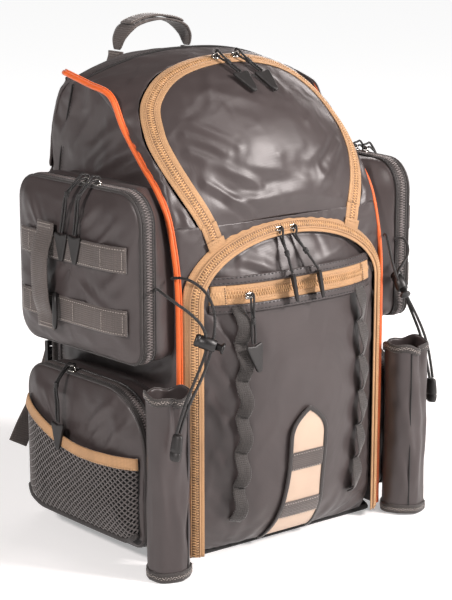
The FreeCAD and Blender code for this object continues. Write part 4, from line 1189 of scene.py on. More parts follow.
def pocket_panel(label, pocket, side, sign):
    """The padded outer panel with its sewn edge and the flap's half of the zip."""
    rim, face, crown = pocket["rim"], pocket["face"], pocket["crown"]
    rings = []
    for inset, rise in ((0.6, -5.0), (0.4, -2.6), (1.6, -0.6), (4.5, 0.9), (9, 3.2), (12.5, 4.8), (16, 6.0),
                        (20, 7.3), (25, 8.3), (30, 9.1), (36, 9.6), (42, 10.0), (48, 10.2), (54, 10.3),
                        (60, 10.4)):
        rings.append(pocket_outline(pocket, inset, face + rise * (crown / 10.4 if rise > 0 else 1)))
    centre = np.array([face + crown, sum(pocket["y"]) / 2, sum(pocket["z"]) / 2])
    last = rings[-1]
    for share in (0.84, 0.68, 0.52, 0.36, 0.2, 0.08, 0.01):
        ring = last * share + centre * (1 - share)
        ring[:, 0] = face + crown
        rings.append(ring)
    rings = np.array(rings)
    for r in range(4, rings.shape[0]):
        for c in range(rings.shape[1]):
            p = rings[r, c]
            slack = 1.8 * fold(p, 30, 60 + sign, (1, 1, 1.2)) + 1.7 * crease(p, 34, 66 + sign, (1, 0.7, 1.3))
            rings[r, c, 0] += slack * min(1.0, (r - 3) / 3)
    top = pocket["z"][1]
    folds = [(-88, top - 26, -52, top - 64, 4, 3.4), (-60, top - 14, -30, top - 40, 4, 3.2),
             (40, top - 22, 10, top - 62, 4, 3.6), (58, top - 60, 18, top - 84, 4, 3.2),
             (-94, top - 70, -66, top - 96, 4, 3.2), (-90, top - 130, -50, top - 104, 4, 3.2),
             (56, top - 128, 22, top - 100, 4, 3.0), (-20, top - 66, 6, top - 90, 5, 2.6),
             (-70, top - 30, -64, top - 70, 4, 2.6), (-40, top - 90, -84, top - 112, 4, 2.8)]
    rings = pleats(rings, [((panel_x(pocket, y, z), y, z), (panel_x(pocket, v, w), v, w), width, height)
                           for y, z, v, w, width, height in folds], X)
    panel = sheet_of(f"{label}_panel_{side}", rings, "nylon", 2.2, True, centre=(SIDE_FACE, -15, 180),
                     slack=0.02, place_at=flare(pocket, sign))
    # painted shade behind the net
    if label == "lower_pocket":
        paint_shade_behind_net(panel, rings)
    tape_line = pocket_outline(pocket, 0.4, rim + 3.7)
    middle = pocket_outline(pocket, 0.2, rim + 0.25)
    ups, mids = outline_normals(tape_line), outline_normals(middle)
    edge = pocket_outline(pocket, 0.4, face - 3.4)
    parts = [sweep(f"{label}_flap_tape_{side}", tape_line, ups, tape_section(6.2), "binding", closed=True),
             teeth(f"{label}_flap_teeth_{side}", middle, mids, "grey_coil", 1, True),
             sweep(f"{label}_edge_roll_{side}", edge, outline_normals(edge), round_section(1.5, 8), "binding",
                   closed=True),
             stitches(f"{label}_flap_stitch_{side}", tape_line + ups * 1.0 + X * 1.4, ups, "dark_thread", 3.2,
                      closed=True)]
    return panel, parts


def paint_shade_behind_net(panel, rings):
    """Painted shade: the panel behind the net takes the near-black nylon, for the dark inside seen through
    its holes.
    """
    panel.data.materials.append(MATS["dark_nylon"])
    points = rings.reshape(-1, 3)
    for face, corners in zip(panel.data.polygons, grid_faces(*rings.shape[:2], True)):
        _, y, z = points[list(corners)].mean(0)
        inside = min(y - LOWER_POCKET["y"][0], LOWER_POCKET["y"][1] - y, z - LOWER_POCKET["z"][0])
        face.material_index = 1 if z < mesh_top(y) - 1 and inside > 4 else 0


def panel_x(pocket, y, z):
    """Height of a pocket's padded panel at a point, for what is sewn on it."""
    (y0, y1), (z0, z1) = pocket["y"], pocket["z"]
    inset = min(y - y0, y1 - y, z - z0, z1 - z)
    steps, rises = [0, 4.5, 9, 16, 25, 36, 48, 60], [-1, 0.9, 3.2, 6.0, 8.3, 9.6, 10.2, 10.4]
    return pocket["face"] + np.interp(inset, steps, rises) * pocket["crown"] / 10.4


def level_band(name, pocket, y0, y1, z, lift, width, material):
    ys = np.linspace(y0, y1, 40)
    line = np.array([(panel_x(pocket, y, z) + lift, y, z) for y in ys])
    return line, sweep(name, line, X, strap_section(width, 1.7), material)


def bar_tacks(name, pocket, y, z, lift, height):
    path = np.array([(panel_x(pocket, y, z) + lift, y, z + k) for k in np.linspace(-height / 2, height / 2,
                                                                                   8)])
    return stitches(name, path, X, "thread", 1.5, size=0.9)


def molle(side):
    """Load webbing rows with edge stitches, and the standing loop strap with its clip."""
    pocket = UPPER_POCKET
    y0, y1 = pocket["y"]
    parts = []
    for row, z in enumerate((238.0, 296.0)):
        line, band = level_band(f"molle_{side}_{row}", pocket, y0 + 10, y1 - 17, z, 1.7, WEBBING - 1,
                                "webbing")
        parts.append(band)
        for shift in (-9.8, 9.8):
            parts.append(stitches(f"molle_stitch_{side}_{row}_{shift}", line + vec((1.9, 0, shift)), X,
                                  "thread", 3.0))
        for k, y in enumerate((y0 + 13, -72, -30, 36, y1 - 20)):
            parts.append(bar_tacks(f"molle_tack_{side}_{row}_{k}", pocket, y, z, 3.7, 17))
    face = pocket["face"] + pocket["crown"]
    profile = [(2.4, 216), (3.2, 224), (4.0, 230), (9.0, 245), (11.0, 268), (10.6, 288), (6.0, 303),
               (4.0, 309),
               (3.2, 318)]
    line = smooth_curve([(face + x, 9.0 + (268 - z) * 0.03, z) for x, z in profile], 40)
    parts.append(sweep(f"loop_strap_{side}", line, X, strap_section(WEBBING, 1.7), "webbing"))
    for z in (218, 221, 313, 316):
        path = np.array([(face + 4.9, y, z) for y in np.linspace(-1, 19, 10)])
        parts.append(stitches(f"loop_tack_{side}_{z}", path, X, "thread", 2.0, size=0.9))
    parts.append(clip(side, face))
    return joined(f"molle_cloth_{side}", parts)


def clip(side, face):
    """Black plastic hook on the loop strap's front edge."""
    path = smooth_curve([(face + 4, -5, 252), (face + 7.5, -9, 246), (face + 8.5, -10, 234),
                         (face + 7.5, -8, 224),
                         (face + 4.5, -4, 219)], 24)
    return sweep(f"clip_{side}", path, X, [(-2.6, -1.8), (2.6, -1.8), (3.2, 0), (2.6, 2.2), (-2.6, 2.2),
                                           (-3.2, 0)],
                 "plastic", levels=1)


def mesh_top(y):
    """Height of the net pocket's bound edge, which dips in the middle."""
    y0, y1 = LOWER_POCKET["y"]
    u = (y - y0) / (y1 - y0)
    return 101.0 + 36.0 * max(0.0, u - 0.42) ** 1.6 * 2.0 + 9.0 * max(0.0, 0.3 - u)


def mesh_pocket(side):
    """Open net stretched over the lower flap, with its tan binding."""
    pocket = LOWER_POCKET
    (y0, y1), (z0, _) = pocket["y"], pocket["z"]
    parts = []

    def net_point(u, v):
        y = y0 + 5 + (y1 - y0 - 10) * u
        low = z0 + 5 + 10 * (max(0.0, 0.12 - u) / 0.12) ** 2 + 16 * (max(0.0, u - 0.85) / 0.15) ** 2
        z = low + (mesh_top(y) - low) * v
        stand = 1.2 + 6.0 * math.sin(math.pi * u) ** 0.5 * (0.35 + 0.65 * v)
        return (panel_x(pocket, y, z) + stand, y, z)

    across, high = 26, 14
    points, edges_u, edges_v = {}, [], []
    for i in range(across * 2 + 1):
        for j in range(high * 2 + 1):
            points[i, j] = vec(net_point(i / (across * 2), j / (high * 2)))
    for k in range(-high * 2, across * 2 + 1, 2):
        edges_u.append([points[k + j, j] for j in range(high * 2 + 1) if 0 <= k + j <= across * 2])
        edges_v.append([points[k + high * 2 - j, j] for j in range(high * 2 + 1)
                        if 0 <= k + high * 2 - j <= across * 2])
    strands = [line for line in edges_u + edges_v if len(line) > 1]
    section = [(-0.55, -0.35), (0.55, -0.35), (0.55, 0.35), (-0.55, 0.35)]
    for k, line in enumerate(strands):
        parts.append(sweep(f"net_{side}_{k}", line, X, section, "net"))
    top = np.array([net_point(u, 1.0) for u in np.linspace(0, 1, 60)])
    parts.append(sweep(f"net_binding_{side}", top + X * -0.8, X, strap_section(11.5, 2.4), "tan"))
    parts.append(stitches(f"net_binding_stitch_{side}", top + vec((2.0, 0, -4.2)), X, "tan_thread", 3.0))
    hem = np.array([net_point(u, 0.0) for u in np.linspace(0, 1, 60)])
    parts.append(sweep(f"net_hem_{side}", hem, X, strap_section(5, 1.6), "binding"))
    return joined(f"mesh_net_{side}", parts)


def make_pockets():
    for side, sign in SIDES:
        for level, pocket in (("upper", UPPER_POCKET), ("lower", LOWER_POCKET)):
            label, place_at = f"{level}_pocket", flare(pocket, sign)
            wall = moved(joined(f"{label}_gusset_{side}", pocket_gusset(label, pocket, side, sign)), place_at)
            finish_piece(wall, "bag", "shell_fabric", f"{label}_{side}")
            cloth_panel, parts = pocket_panel(label, pocket, side, sign)
            trim = moved(joined(f"{label}_trim_{side}", parts), place_at)
            panel = joined(f"{label}_padded_{side}", [cloth_panel, trim])
            body = f"{label}_flap_{side}"
            finish_piece(panel, body, "shell_fabric", body)
            extra = molle(side) if level == "upper" else mesh_pocket(side)
            trim = moved(extra, place_at)
            slot, replaced = ("webbing", "molle_webbing_") if level == "upper" else ("open_mesh",
                                                                                     "mesh_pocket_")
            finish_piece(trim, body, slot, replaced + side)


# ---------------------------------------------------------------- rod tubes
TUBE_RINGS = [0.4, 3, 8, 14, *range(22, 160, 8), 162, 167, 172, TUBE_TOP]


def tube_point(sign, turn, z, grow=0.0):
    """A soft sleeve: not quite round, creased along its front and slack round its mouth."""
    u = z / TUBE_TOP
    lobes = 0.9 * math.cos(2 * turn + 0.6) * (0.4 + 0.8 * u) + 0.7 * math.cos(3 * turn - 0.8 + 1.2 * u)
    ridge = 2.0 * math.exp(-((turn + 0.6) / 0.3) ** 2) * (1 - 0.5 * u)
    tuck = 4.2 * math.exp(-((turn + 1.25) / 0.2) ** 2) * max(0.0, u - 0.45) / 0.55
    around = (math.cos(turn) * 34, math.sin(turn) * 34, z)
    slack = 1.1 * fold(around, 38, 70 + sign, (1, 1, 0.45)) + 0.9 * crease(around, 30, 75 + sign, (1, 1, 0.5))
    r = TUBE_R - 1.7 + lobes + ridge - tuck + slack + grow
    wave = (2.2 * math.sin(2 * turn + 1.0) + 1.6 * math.sin(5 * turn)) * max(0.0, u - 0.8) / 0.2
    lift = (1.2 + math.sin(2 * turn)) * max(0.0, 0.1 - u) / 0.1
    return vec((sign * (TUBE_X + r * math.cos(turn)), TUBE_Y + r * math.sin(turn), z + wave + lift))


def make_rod_tubes():
    turns = np.linspace(-math.pi, math.pi, 56, endpoint=False)
    for side, sign in SIDES:
        middle = (sign * TUBE_X, TUBE_Y, 90)
        rings = [[tube_point(sign, a, z) for a in turns] for z in TUBE_RINGS]
        folds = [(-1.9, 150, -1.2, 96, 4, 2.2), (-0.9, 168, -1.5, 128, 4, 2.0), (-2.3, 112, -1.7, 52, 4, 2.2),
                 (-1.2, 80, -1.7, 30, 4, 2.0), (-2.6, 60, -2.0, 20, 4, 1.8), (-0.4, 120, -0.8, 60, 4, 1.8)]
        ends = [(tube_point(sign, *f[:2]), tube_point(sign, *f[2:4]), *f[4:]) for f in folds]
        rings = pleats(rings, ends, -Y)
        parts = [sheet_of(f"rod_tube_wall_{side}", rings, "nylon", 1.5, True, centre=middle)]
        for z, width in ((5.0, 9.0), (TUBE_TOP - 3.4, 7.6)):
            circle = np.array([tube_point(sign, a, z) for a in turns])
            ups = unit((circle - vec(middle)) * (1, 1, 0))
            parts.append(sweep(f"rod_hem_{side}_{z}", circle, ups, strap_section(width, 1.3), "black_webbing",
                               True))
            row = np.array([tube_point(sign, a, z) + vec((0, 0, (1.3 if k % 2 else -1.3)))
                            for k, a in enumerate(np.linspace(-math.pi, math.pi, 110, endpoint=False))])
            ups = unit((row - vec(middle)) * (1, 1, 0))
            parts.append(stitches(f"rod_stitch_{side}_{z}", row + ups * 1.2, ups, "thread", 2.2, closed=True,
                                  size=0.6))
        seam = np.array([tube_point(sign, -2.0, z, 0.2) for z in np.linspace(10, 168, 24)])
        parts.append(sweep(f"rod_seam_{side}", seam, vec((-0.4 * sign, -0.9, 0)), round_section(0.8, 6),
                           "dark_nylon"))
        floor_ring = [[(sign * TUBE_X + r * math.cos(a), TUBE_Y + r * math.sin(a), 2.4) for a in turns]
                      for r in (0.3, 9, TUBE_R - 3.0)]
        parts.append(mesh_object(f"rod_floor_{side}", np.array(floor_ring).reshape(-1, 3),
                                 grid_faces(3, len(turns), True), "dark_nylon"))
        finish_piece(joined(f"rod_tube_cloth_{side}", parts), "bag", "shell_fabric", f"rod_tube_{side}")


# ---------------------------------------------------------------- handle and straps
HANDLE_Y, HANDLE_FOOT, HANDLE_HALF, HANDLE_RISE = 97.0, 461.0, 46.0, 33.0
GRIP = slice(14, 46)      # the stations of the handle that its grip covers


def make_handle():
    """The webbing loop with its sewn grip, and the two ends that hold it to the bag."""
    h = HANDLE_HALF - 1.6
    line = smooth_curve([(-h, HANDLE_Y, HANDLE_FOOT), (-h * 0.92, HANDLE_Y, HANDLE_FOOT + 13),
                         (-h * 0.62, HANDLE_Y, HANDLE_FOOT + 25),
                         (0, HANDLE_Y, HANDLE_FOOT + HANDLE_RISE - 3),
                         (h * 0.62, HANDLE_Y, HANDLE_FOOT + 25), (h * 0.92, HANDLE_Y, HANDLE_FOOT + 13),
                         (h, HANDLE_Y, HANDLE_FOOT)], 60)
    outward = unit(line - vec((0, HANDLE_Y, HANDLE_FOOT - 18)))
    halves = 4.0 + 10.0 * np.clip(np.minimum(np.linspace(0, 1, 60), np.linspace(1, 0, 60)) / 0.2, 0, 1) ** 0.7
    grid = [[p + Y * half * k for k in np.linspace(-1, 1, 9)] for p, half in zip(line, halves)]
    parts = [sheet_of("handle_web", grid, "webbing", 2.2, levels=0, centre=(0, HANDLE_Y, HANDLE_FOOT - 40))]
    middle, ups = line[GRIP], outward[GRIP]
    parts.append(sweep("handle_grip", middle + ups * 1.2, ups, strap_section(21, 1.8), "webbing"))
    for shift in (-8.5, 8.5):
        row = middle + ups * 3.2 + Y * shift
        parts.append(stitches(f"handle_stitch_{shift}", row, ups, "thread", 3.0))
    finish_piece(joined("carry_handle_web", parts), "carry_handle", "webbing", "carry_handle")
    anchors = []
    for sign in (-1, 1):
        line = smooth_curve([(sign * (HANDLE_HALF - 1.6), HANDLE_Y, HANDLE_FOOT - 1.6),
                             (sign * (HANDLE_HALF - 1.2), HANDLE_Y, 454),
                             (sign * (HANDLE_HALF + 2), HANDLE_Y, 446)], 12)
        anchors.append(sweep(f"handle_anchor_{sign}", line, X * sign, strap_section(WEBBING, 3.0, -1.0),
                             "webbing"))
        tack = np.array([(sign * (HANDLE_HALF + 1.4), HANDLE_Y + k, 457.5) for k in np.linspace(-10, 10, 9)])
        anchors.append(stitches(f"handle_anchor_tack_{sign}", tack, X * sign, "thread", 2.0))
    finish_piece(joined("handle_anchors", anchors), "bag", "webbing")


STRAP_LINE = [(45, 113, 398), (47, 125, 382), (53, 136, 350), (64, 140.5, 300), (78, 138, 245),
              (93, 131, 195),
              (100, 125, 166)]
PAD_RINGS, PAD_SIDES = 44, 20
PAD_SEWN = slice(4, 40)   # the stations of a pad that its webbing is sewn along


def make_straps():
    for side, sign in SIDES:
        line = smooth_curve(STRAP_LINE, PAD_RINGS)
        along = tangents(line)
        out = unit(np.cross(along, unit(np.cross(Y, along))))
        out = out * np.sign(out @ Y)[:, None]
        widths = np.interp(np.linspace(0, 1, PAD_RINGS), [0, 0.3, 0.7, 1], [31, 32, 27, 19])
        grid = []
        for p, n, w, a in zip(line, out, widths, along):
            across = unit(np.cross(n, a))
            ring = []
            for k in range(PAD_SIDES):
                turn = 2 * math.pi * k / PAD_SIDES
                square = abs(math.cos(turn)) ** 0.35 * math.copysign(1, math.cos(turn))
                ring.append(p + across * w * square + n * 5.6 * math.sin(turn)
                            * (1 - 0.25 * abs(square) ** 3))
            grid.append(ring)
        grid = np.array(grid)
        grid[0] = grid[0] * 0.8 + grid[0].mean(0) * 0.2
        grid[-1] = grid[-1] * 0.8 + grid[-1].mean(0) * 0.2
        faces = grid_faces(PAD_RINGS, PAD_SIDES, True) + end_caps(PAD_RINGS, PAD_SIDES)
        pad = mesh_object(f"strap_pad_core_{side}", grid.reshape(-1, 3), faces, "spacer")
        parts = [pad]
        for edge in (-1, 1):
            rim = np.array([p + unit(np.cross(n, a)) * w * edge * 0.985 for p, n, w,
                            a in zip(line, out, widths, along)])
            parts.append(sweep(f"strap_bind_{side}_{edge}", rim, out,
                               [(-1.6, -4.2), (1.6, -4.2), (2.2, 0), (1.6, 4.2),
                                                                      (-1.6, 4.2)], "black_webbing",
                                                                      levels=1))
        ups, runs = out[PAD_SEWN], along[PAD_SEWN]
        centre = line[PAD_SEWN] + ups * 5.8
        parts.append(sweep(f"strap_web_{side}", centre, ups, strap_section(WEBBING, 1.6), "webbing"))
        for k in range(6):
            at = 5 + 6 * k
            across = unit(np.cross(ups[at], runs[at]))
            tack = np.array([centre[at] + across * s + ups[at] * 1.9 for s in np.linspace(-10, 10, 9)])
            parts.append(stitches(f"strap_tack_{side}_{k}", tack, ups[at], "thread", 2.0, size=0.9))
        whole = joined(f"shoulder_pad_{side}", parts)
        if sign < 0:
            moved(whole, Matrix.Diagonal((-1, 1, 1, 1)))
        finish_piece(whole, "bag", "padded_mesh", f"shoulder_strap_{side}")
    make_strap_webbing()


def make_strap_webbing():
    parts = []
    routes = {"anchor": [(101, 128, 158), (105, 132, 140), (111, 137, 108), (118, 138.6, 76), (118, 128, 46),
                         (116, 109, 31)],
              "tail": [(103, 129.5, 158), (106, 134, 140), (112, 139, 118), (120, 143.5, 96),
                       (131, 145.5, 76),
                       (141, 145.5, 58)]}
    for sign in (-1, 1):
        for name, route in routes.items():
            line = smooth_curve([(sign * x, y, z) for x, y, z in route], 36)
            parts.append(sweep(f"web_{name}_{sign}", line, Y, strap_section(WEBBING - 2, 1.5, -0.7),
                               "webbing"))
        tack = np.array([(sign * 116 + x, 112.5, 35) for x in np.linspace(-9, 9, 8)])
        parts.append(stitches(f"web_tack_{sign}", tack, Y, "thread", 2.0))
    finish_piece(joined("strap_webbing_cloth", parts), "bag", "webbing", "strap_webbing")


# ---------------------------------------------------------------- cords, locks, pulls
STRANDS = {
    "left": [
        [(-130, -110.7, 276), (-128.5, -121, 279), (-124, -135, 277), (-119.5, -150, 268.5),
         (-119.5, -161, 254), (-124.2, -167.5, 239), (-127, -167.1, 225), (-130, -165.2, 210),
         (-135.5, -162, 193.5), (-143.5, -159, 177), (-150.5, -157, 161), (-155, -156, 146)],
        [(-146, -109.5, 268), (-152, -118, 271.5), (-155.5, -131, 270), (-152, -145, 263.5),
         (-143, -156, 254.5), (-134, -163.5, 242.5), (-130, -164.4, 226.3), (-133.2, -162.2, 211.5),
         (-139, -159.3, 195.5), (-147, -157.5, 178.5), (-154, -156.6, 161.5), (-159, -156, 146)],
    ],
    "right": [
        [(129, -111, 284), (126, -117, 288), (122.5, -124, 283), (123, -127.5, 270), (127.5, -127.5, 256),
         (134, -126, 243), (140.7, -123.5, 236.6), (148, -120.5, 230.5), (156, -121, 216), (165.5, -124, 198),
         (173.5, -127.5, 178), (177.5, -131, 156.5), (179.8, -133, 135)],
        [(145, -109.8, 278), (150.5, -114, 281), (153.5, -119.5, 275), (151.5, -123.5, 265),
         (143, -125, 256.5), (135.5, -123.5, 247), (141.3, -120.5, 239.4), (149, -117.6, 233.5),
         (154.5, -117.5, 219), (162, -120.3, 201), (169.8, -124, 180.5), (173.2, -129.2, 157.5),
         (175.8, -133, 135)],
    ],
}
LOCKS = {"left": ((-131.5, -163, 227), (0.70, -0.64, -0.31)),
         "right": ((141, -122, 238), (-0.15, -0.72, -0.68))}
CORD_ENDS = {"left": ((-157, -156, 146), (-4, 0, -24)), "right": ((177.8, -133, 135), (1, 0, -24))}
CORD_D = 2.8


def cord_curve(name, points, diameter):
    data = bpy.data.curves.new(name, "CURVE")
    data.dimensions = "3D"
    spline = data.splines.new("NURBS")
    spline.points.add(len(points) - 1)
    for item, p in zip(spline.points, points):
        item.co = (*(vec(p) * MM), 1)
    spline.order_u = 3
    spline.use_endpoint_u = True
    spline.resolution_u = 12
    data.bevel_depth = diameter / 2 * MM
    data.bevel_resolution = 4
    data.use_fill_caps = True
    data.materials.append(MATS["cord"])
    return in_scene(name, data)


def lathe(name, profile, origin, axis, material, sides=28, squash=1.0):
    """A turned or moulded round piece: (distance along the axis, radius) pairs."""
    axis = unit(axis)
    across = unit(np.cross(axis, Z if abs(axis[2]) < 0.9 else Y))
    up = np.cross(axis, across)
    rings = [[vec(origin) + axis * d + (across * math.cos(t) + up * squash * math.sin(t)) * r
              for t in np.linspace(0, 2 * math.pi, sides, endpoint=False)] for d, r in profile]
    faces = grid_faces(len(profile), sides, True)
    faces += end_caps(len(profile), sides)
    return mesh_object(name, np.array(rings).reshape(-1, 3), faces, material)


def make_bungees():
    for side in ("left", "right"):
        centre, axis = LOCKS[side]
        barrel = lathe(f"lock_barrel_{side}", [(-10, 3.6), (-9.7, 5.2), (-8.8, 5.9), (-6.2, 6.0), (-5.8, 5.6),
                                               (-5.2, 5.6), (-4.8, 6.0), (7.2, 6.0), (7.6, 5.5), (9.4, 5.5),
                                               (10, 4.6)],
                       centre, axis, "plastic")
        finish_piece(barrel, "bag", "black_plastic", f"cord_lock_{side}")
        end = vec(centre) + unit(axis) * 10
        button = lathe(f"lock_plunger_{side}",
                       [(-2.8, 3.2), (4.4, 3.2), (4.8, 4.4), (5.4, 5.2), (7.2, 5.3), (7.7, 4.6),
                                                (7.8, 1.0)], end, axis, "plastic")
        finish_piece(button, f"lock_button_{side}", "black_plastic", f"lock_button_{side}")
        top, along = CORD_ENDS[side]
        start = vec(top) + unit(along) * 0.8
        tip = lathe(f"cord_tip_{side}", [(0, 2.4), (0.6, 3.4), (3, 3.9), (12, 4.3), (15, 4.4), (15.6, 3.9),
                                         (16.4, 3.9),
                                         (17, 4.4), (22, 4.0), (24, 3.2), (24.3, 1.0)], start, along,
                                         "rubber",
                    squash=1.55)
        finish_piece(tip, "bag", "rubber_pull", f"cord_end_{side}")
        for k, route in enumerate(STRANDS[side]):
            strand = cord_curve(f"bungee_strand_{side}_{k}", route, CORD_D)
            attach(strand, "bag")
            if k == 0:
                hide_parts(f"bungee_{side}")


PULL_CORD_R, BAIL_OUT = 1.1, 6.6


def slider_parts(label, at, along, out):
    """Zip slider: domed top plate with a waist, nose and a wire bail."""
    along, out = unit(along), unit(out)
    across = np.cross(out, along)
    at = vec(at)
    parts = []
    rings = []
    for lift, grow in ((0.3, 0.9), (0.5, 1.0), (1.7, 1.0), (2.4, 0.93), (2.7, 0.7)):
        ring = []
        for k in range(24):
            t = 2 * math.pi * k / 24
            cx = abs(math.cos(t)) ** 0.6 * math.copysign(1, math.cos(t))
            cy = abs(math.sin(t)) ** 0.6 * math.copysign(1, math.sin(t))
            waist = 1 - 0.16 * (1 - abs(cx)) + 0.08 * cx
            ring.append(at + along * 4.5 * grow * cx + across * 3.8 * grow * cy * waist + out * lift)
        rings.append(ring)
    faces = grid_faces(5, 24, True) + end_caps(5, 24)
    parts.append(mesh_object(f"{label}_plate", np.array(rings).reshape(-1, 3), faces, "nickel"))
    bow = [at + along * 4.2 * math.cos(a) + out * (2.3 + 4.2 * math.sin(a)) for a in np.linspace(-0.05,
                                                                                                 math.pi
                                                                                                 + 0.05,
                                                                                           20)]
    parts.append(sweep(f"{label}_bail", bow, across, round_section(0.75, 8), "nickel"))
    return parts


def pull_parts(label, at, out, down, knot, top, foot, wide):
    """Braided loop through the bail, its knot, and the moulded arrow-shaped tag."""
    at, out, down, wide = vec(at), unit(out), unit(down), unit(wide)
    knot, top, foot = vec(knot), vec(top), vec(foot)
    bail = at + out * BAIL_OUT
    reach, split = 2.3, wide * 1.25
    loop = [top + split * 1.3, (top + knot) / 2 + split * 1.6, knot + split, bail + out * reach + down * 7,
            bail + out * reach + down * 2, bail + out * (reach * 0.6) - down * reach,
            bail - out * (reach * 0.6)
            - down * reach, bail - out * reach + down * 2, bail - out * (reach - 0.6) + down * 7,
            knot - split,
            (top + knot) / 2 - split * 1.6, top - split * 1.3]
    line = smooth_curve(loop, 90)
    side = np.cross(tangents(line), wide + out * 0.3 + 0.1)
    parts = [sweep(f"{label}_loop", line, unit(side), round_section(PULL_CORD_R, 10), "cord")]
    turn = unit(knot - top)
    parts.append(lathe(f"{label}_knot", [(-3.2, 0.8), (-2.6, 2.0), (-1.2, 2.5), (-0.4, 2.2), (0.4, 2.2),
                                         (1.2, 2.6),
                                         (2.6, 2.1), (3.2, 0.8)], knot, turn, "cord", 14))
    lean = unit(foot - top)
    wide = unit(wide - lean * (wide @ lean))
    thick = np.cross(wide, lean)
    outline = [(-9.0, 1.4), (-8.2, 0.6), (0, 2.4), (8.2, 0.6), (9.0, 1.4), (9.1, 3.4), (2.9, 25.4),
               (1.6, 27.0),
               (-1.6, 27.0), (-2.9, 25.4), (-9.1, 3.4)]
    rings = []
    for depth, shrink in ((-1.6, 0.86), (-1.1, 1.0), (1.1, 1.0), (1.6, 0.86), (1.6, 0.72), (1.05, 0.66),
                          (1.05, 0.3)):
        middle = lean * 11.5
        rings.append([top + middle + (wide * u + lean * v - middle) * shrink + thick * depth for u,
                      v in outline])
    count = len(outline)
    faces = grid_faces(7, count, True) + end_caps(7, count)
    tag = mesh_object(f"{label}_tag", np.array(rings).reshape(-1, 3), faces, "rubber", smooth=False)
    bevel = tag.modifiers.new("edges", "BEVEL")
    bevel.width = 0.35 * MM
    bevel.segments = 2
    parts.append(tag)
    return parts


def slider_and_pull(label, body_pair, nodes, at, along, out, down, knot, top, foot, wide, placement=None):
    """Makes a slider and its pull as two pieces, each on its body; where they share a body both go on it."""
    stud = slider_parts(f"{label}_slider", at, along, out)
    cordage = pull_parts(f"{label}_pull", at, out, down, knot, top, foot, wide)
    made = [joined(f"{label}_slider_metal", stud), joined(f"{label}_pull_cord", cordage)]
    for piece, body, slot, replaced in zip(made, body_pair, ("nickel", "rubber_pull"), nodes):
        if placement is not None:
            moved(piece, placement)
        finish_piece(piece, body, slot, *([replaced] if replaced else []))


def top_point(x, y):
    hit, _, _, _ = PROBE.ray_cast(Vector((x, y, 600)), Vector((0, 0, -1)))
    return vec(hit)


def make_pulls():
    slope, down = vec((0, -0.52, 0.854)), vec((0, -0.854, -0.52))
    for side, x, lean in (("left", -12.0, 6.0), ("right", 12.0, 8.0)):
        at = top_point(x, -22.0) + slope * 0.9
        knot = top_point(x + lean * 0.4, -37.0) + slope * 5
        top, foot = top_point(x + lean, -50.0) + slope * 4, top_point(x + lean + 3, -72.0) + slope * 4
        slider_and_pull(f"upper_{side}", (f"upper_slider_{side}", f"upper_pull_{side}"),
                        (f"upper_slider_{side}", f"upper_pull_{side}"), at, X, slope, down, knot, top, foot,
                        X)
    edgeways = vec((0.5, 0.87, 0))
    for side, x, lean in (("left", -15.5, -2.0), ("right", 1.0, 13.0)):
        at = vec((x, FLAP_EDGE_Y, 309.5))
        slider_and_pull(f"lower_{side}", (f"lower_slider_{side}", f"lower_pull_{side}"),
                        (f"lower_slider_{side}", f"lower_pull_{side}"), at, X, -Y, -Z,
                        on_flap(x + lean * 0.4, 289, 7), on_flap(x + lean, 272, 11),
                        on_flap(x + lean + 1, 245, 12), edgeways)
    x = -66.0
    at = vec((x, flap_y(0, POCKET_ZIP_Z) - 2.1, POCKET_ZIP_Z))
    slider_and_pull("front_pocket", ("front_pocket_slider", "front_pocket_pull"),
                    ("front_pocket_slider", "front_pocket_pull"), at, X, -Y, -Z, on_flap(x + 1, 234, 9),
                    on_flap(x, 213, 9), on_flap(x + 4, 184, 10), X)
    for side, sign in SIDES:
        for label, pocket, y, drop, proud in (("upper_pocket_puller_{}_front", UPPER_POCKET, -44, 8, 4.2),
                                              ("upper_pocket_puller_{}_rear", UPPER_POCKET, -28, 12, 4.2),
                                              ("lower_pocket_puller_{}", LOWER_POCKET, 10, -6, 10.1)):
            label = label.format(side)
            at = vec((pocket["rim"] + 4.5, y, pocket["z"][1]))
            out = pocket["face"] + pocket["crown"] + proud
            slider_and_pull(label, (label, label), (label, None), at, Y, Z, X,
                            (out - 2, y + drop * 0.4, at[2] - 8),
                            (out, y + drop, at[2] - 44), (out + 0.5, y + drop, at[2] - 71), Y,
                            flare(pocket, sign))


def dress_cad_nodes():
    """CAD pieces that are shown as they are."""
    for name, material in (("divider_shelf", "dark_nylon"), ("ladder_locks", "plastic")):
        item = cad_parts[name]
        item.data.materials.clear()
        item.data.materials.append(MATS[material])
        bevel = item.modifiers.new("edges", "BEVEL")
        bevel.width = 0.6 * MM
        bevel.segments = 3


# ---------------------------------------------------------------- room, light and camera
def make_room():
    sides, rings = 96, (0, 0.6, 2, 8, 30)
    points = [(r * 1000 * math.cos(2 * math.pi * k / sides), r * 1000 * math.sin(2 * math.pi * k / sides), 0)
              for r in rings for k in range(sides)]
    mesh_object("floor", points, grid_faces(len(rings), sides, True), "floor")
    world = bpy.data.worlds.new("studio")
    bpy.context.scene.world = world
    world.use_nodes = True
    world.node_tree.nodes["Background"].inputs["Color"].default_value = (1, 1, 1, 1)
    world.node_tree.nodes["Background"].inputs["Strength"].default_value = 0.10


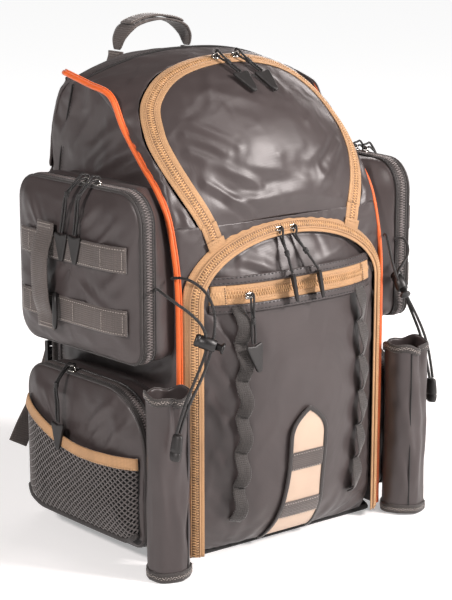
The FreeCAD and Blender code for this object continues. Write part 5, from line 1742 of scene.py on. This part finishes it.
def light(name, position, target, size, power, color=(1, 1, 1)):
    data = bpy.data.lights.new(name, "AREA")
    data.size = size
    data.energy = power
    data.color = color
    obj = in_scene(name, data)
    obj.location = position
    obj.rotation_euler = (Vector(target) - Vector(position)).to_track_quat("-Z", "Y").to_euler()


def make_lights():
    warm = (1.0, 0.93, 0.91)
    light("key", (1.0, -1.6, 1.25), (0, -0.05, 0.25), 0.5, 66, warm)
    light("fill", (-2.0, -0.6, 1.5), (0, 0, 0.2), 0.25, 44, warm)
    light("top", (0.3, -0.9, 1.9), (0, 0, 0.4), 0.5, 9, warm)
    light("rim", (1.4, 0.9, 0.9), (0, 0, 0.3), 0.7, 8, warm)


def make_camera():
    data = bpy.data.cameras.new("camera")
    data.sensor_width = 36.0
    data.lens = 110.75
    obj = in_scene("camera", data)
    turn, drop = math.radians(37.9), math.radians(13.3)
    forward = Vector((math.sin(turn) * math.cos(drop), math.cos(turn) * math.cos(drop), -math.sin(drop)))
    target = Vector((-0.0231, -0.0534, 0.230))
    obj.location = target - forward * 1.7857
    obj.rotation_euler = forward.to_track_quat("-Z", "Y").to_euler()
    data.clip_end = 20
    bpy.context.scene.camera = obj


def main():
    floor, tree, bsdf = shader("pale_floor", (0.86, 0.86, 0.86), 0.75)
    bsdf.inputs["Emission Color"].default_value = (1, 1, 1, 1)
    far = node(tree, "VectorMath", operation="LENGTH")
    tree.links.new(place(tree), far.inputs["Vector"])
    glow = node(tree, "MapRange")
    for key, value in (("From Min", 0.3), ("From Max", 2.5), ("To Min", 0.34), ("To Max", 0.85)):
        glow.inputs[key].default_value = value
    tree.links.new(far.outputs["Value"], glow.inputs["Value"])
    tree.links.new(glow.outputs["Result"], bsdf.inputs["Emission Strength"])
    MATS["floor"] = floor
    bpy.context.scene.view_settings.view_transform = "Standard"
    make_camera()
    make_bungees()
    make_top()
    make_sides()
    make_back()
    make_lower_flap()
    make_flap_trim()
    make_pockets()
    make_rod_tubes()
    make_handle()
    make_straps()
    make_pulls()
    dress_cad_nodes()
    make_room()
    make_lights()
    bpy.context.view_layer.update()


main()
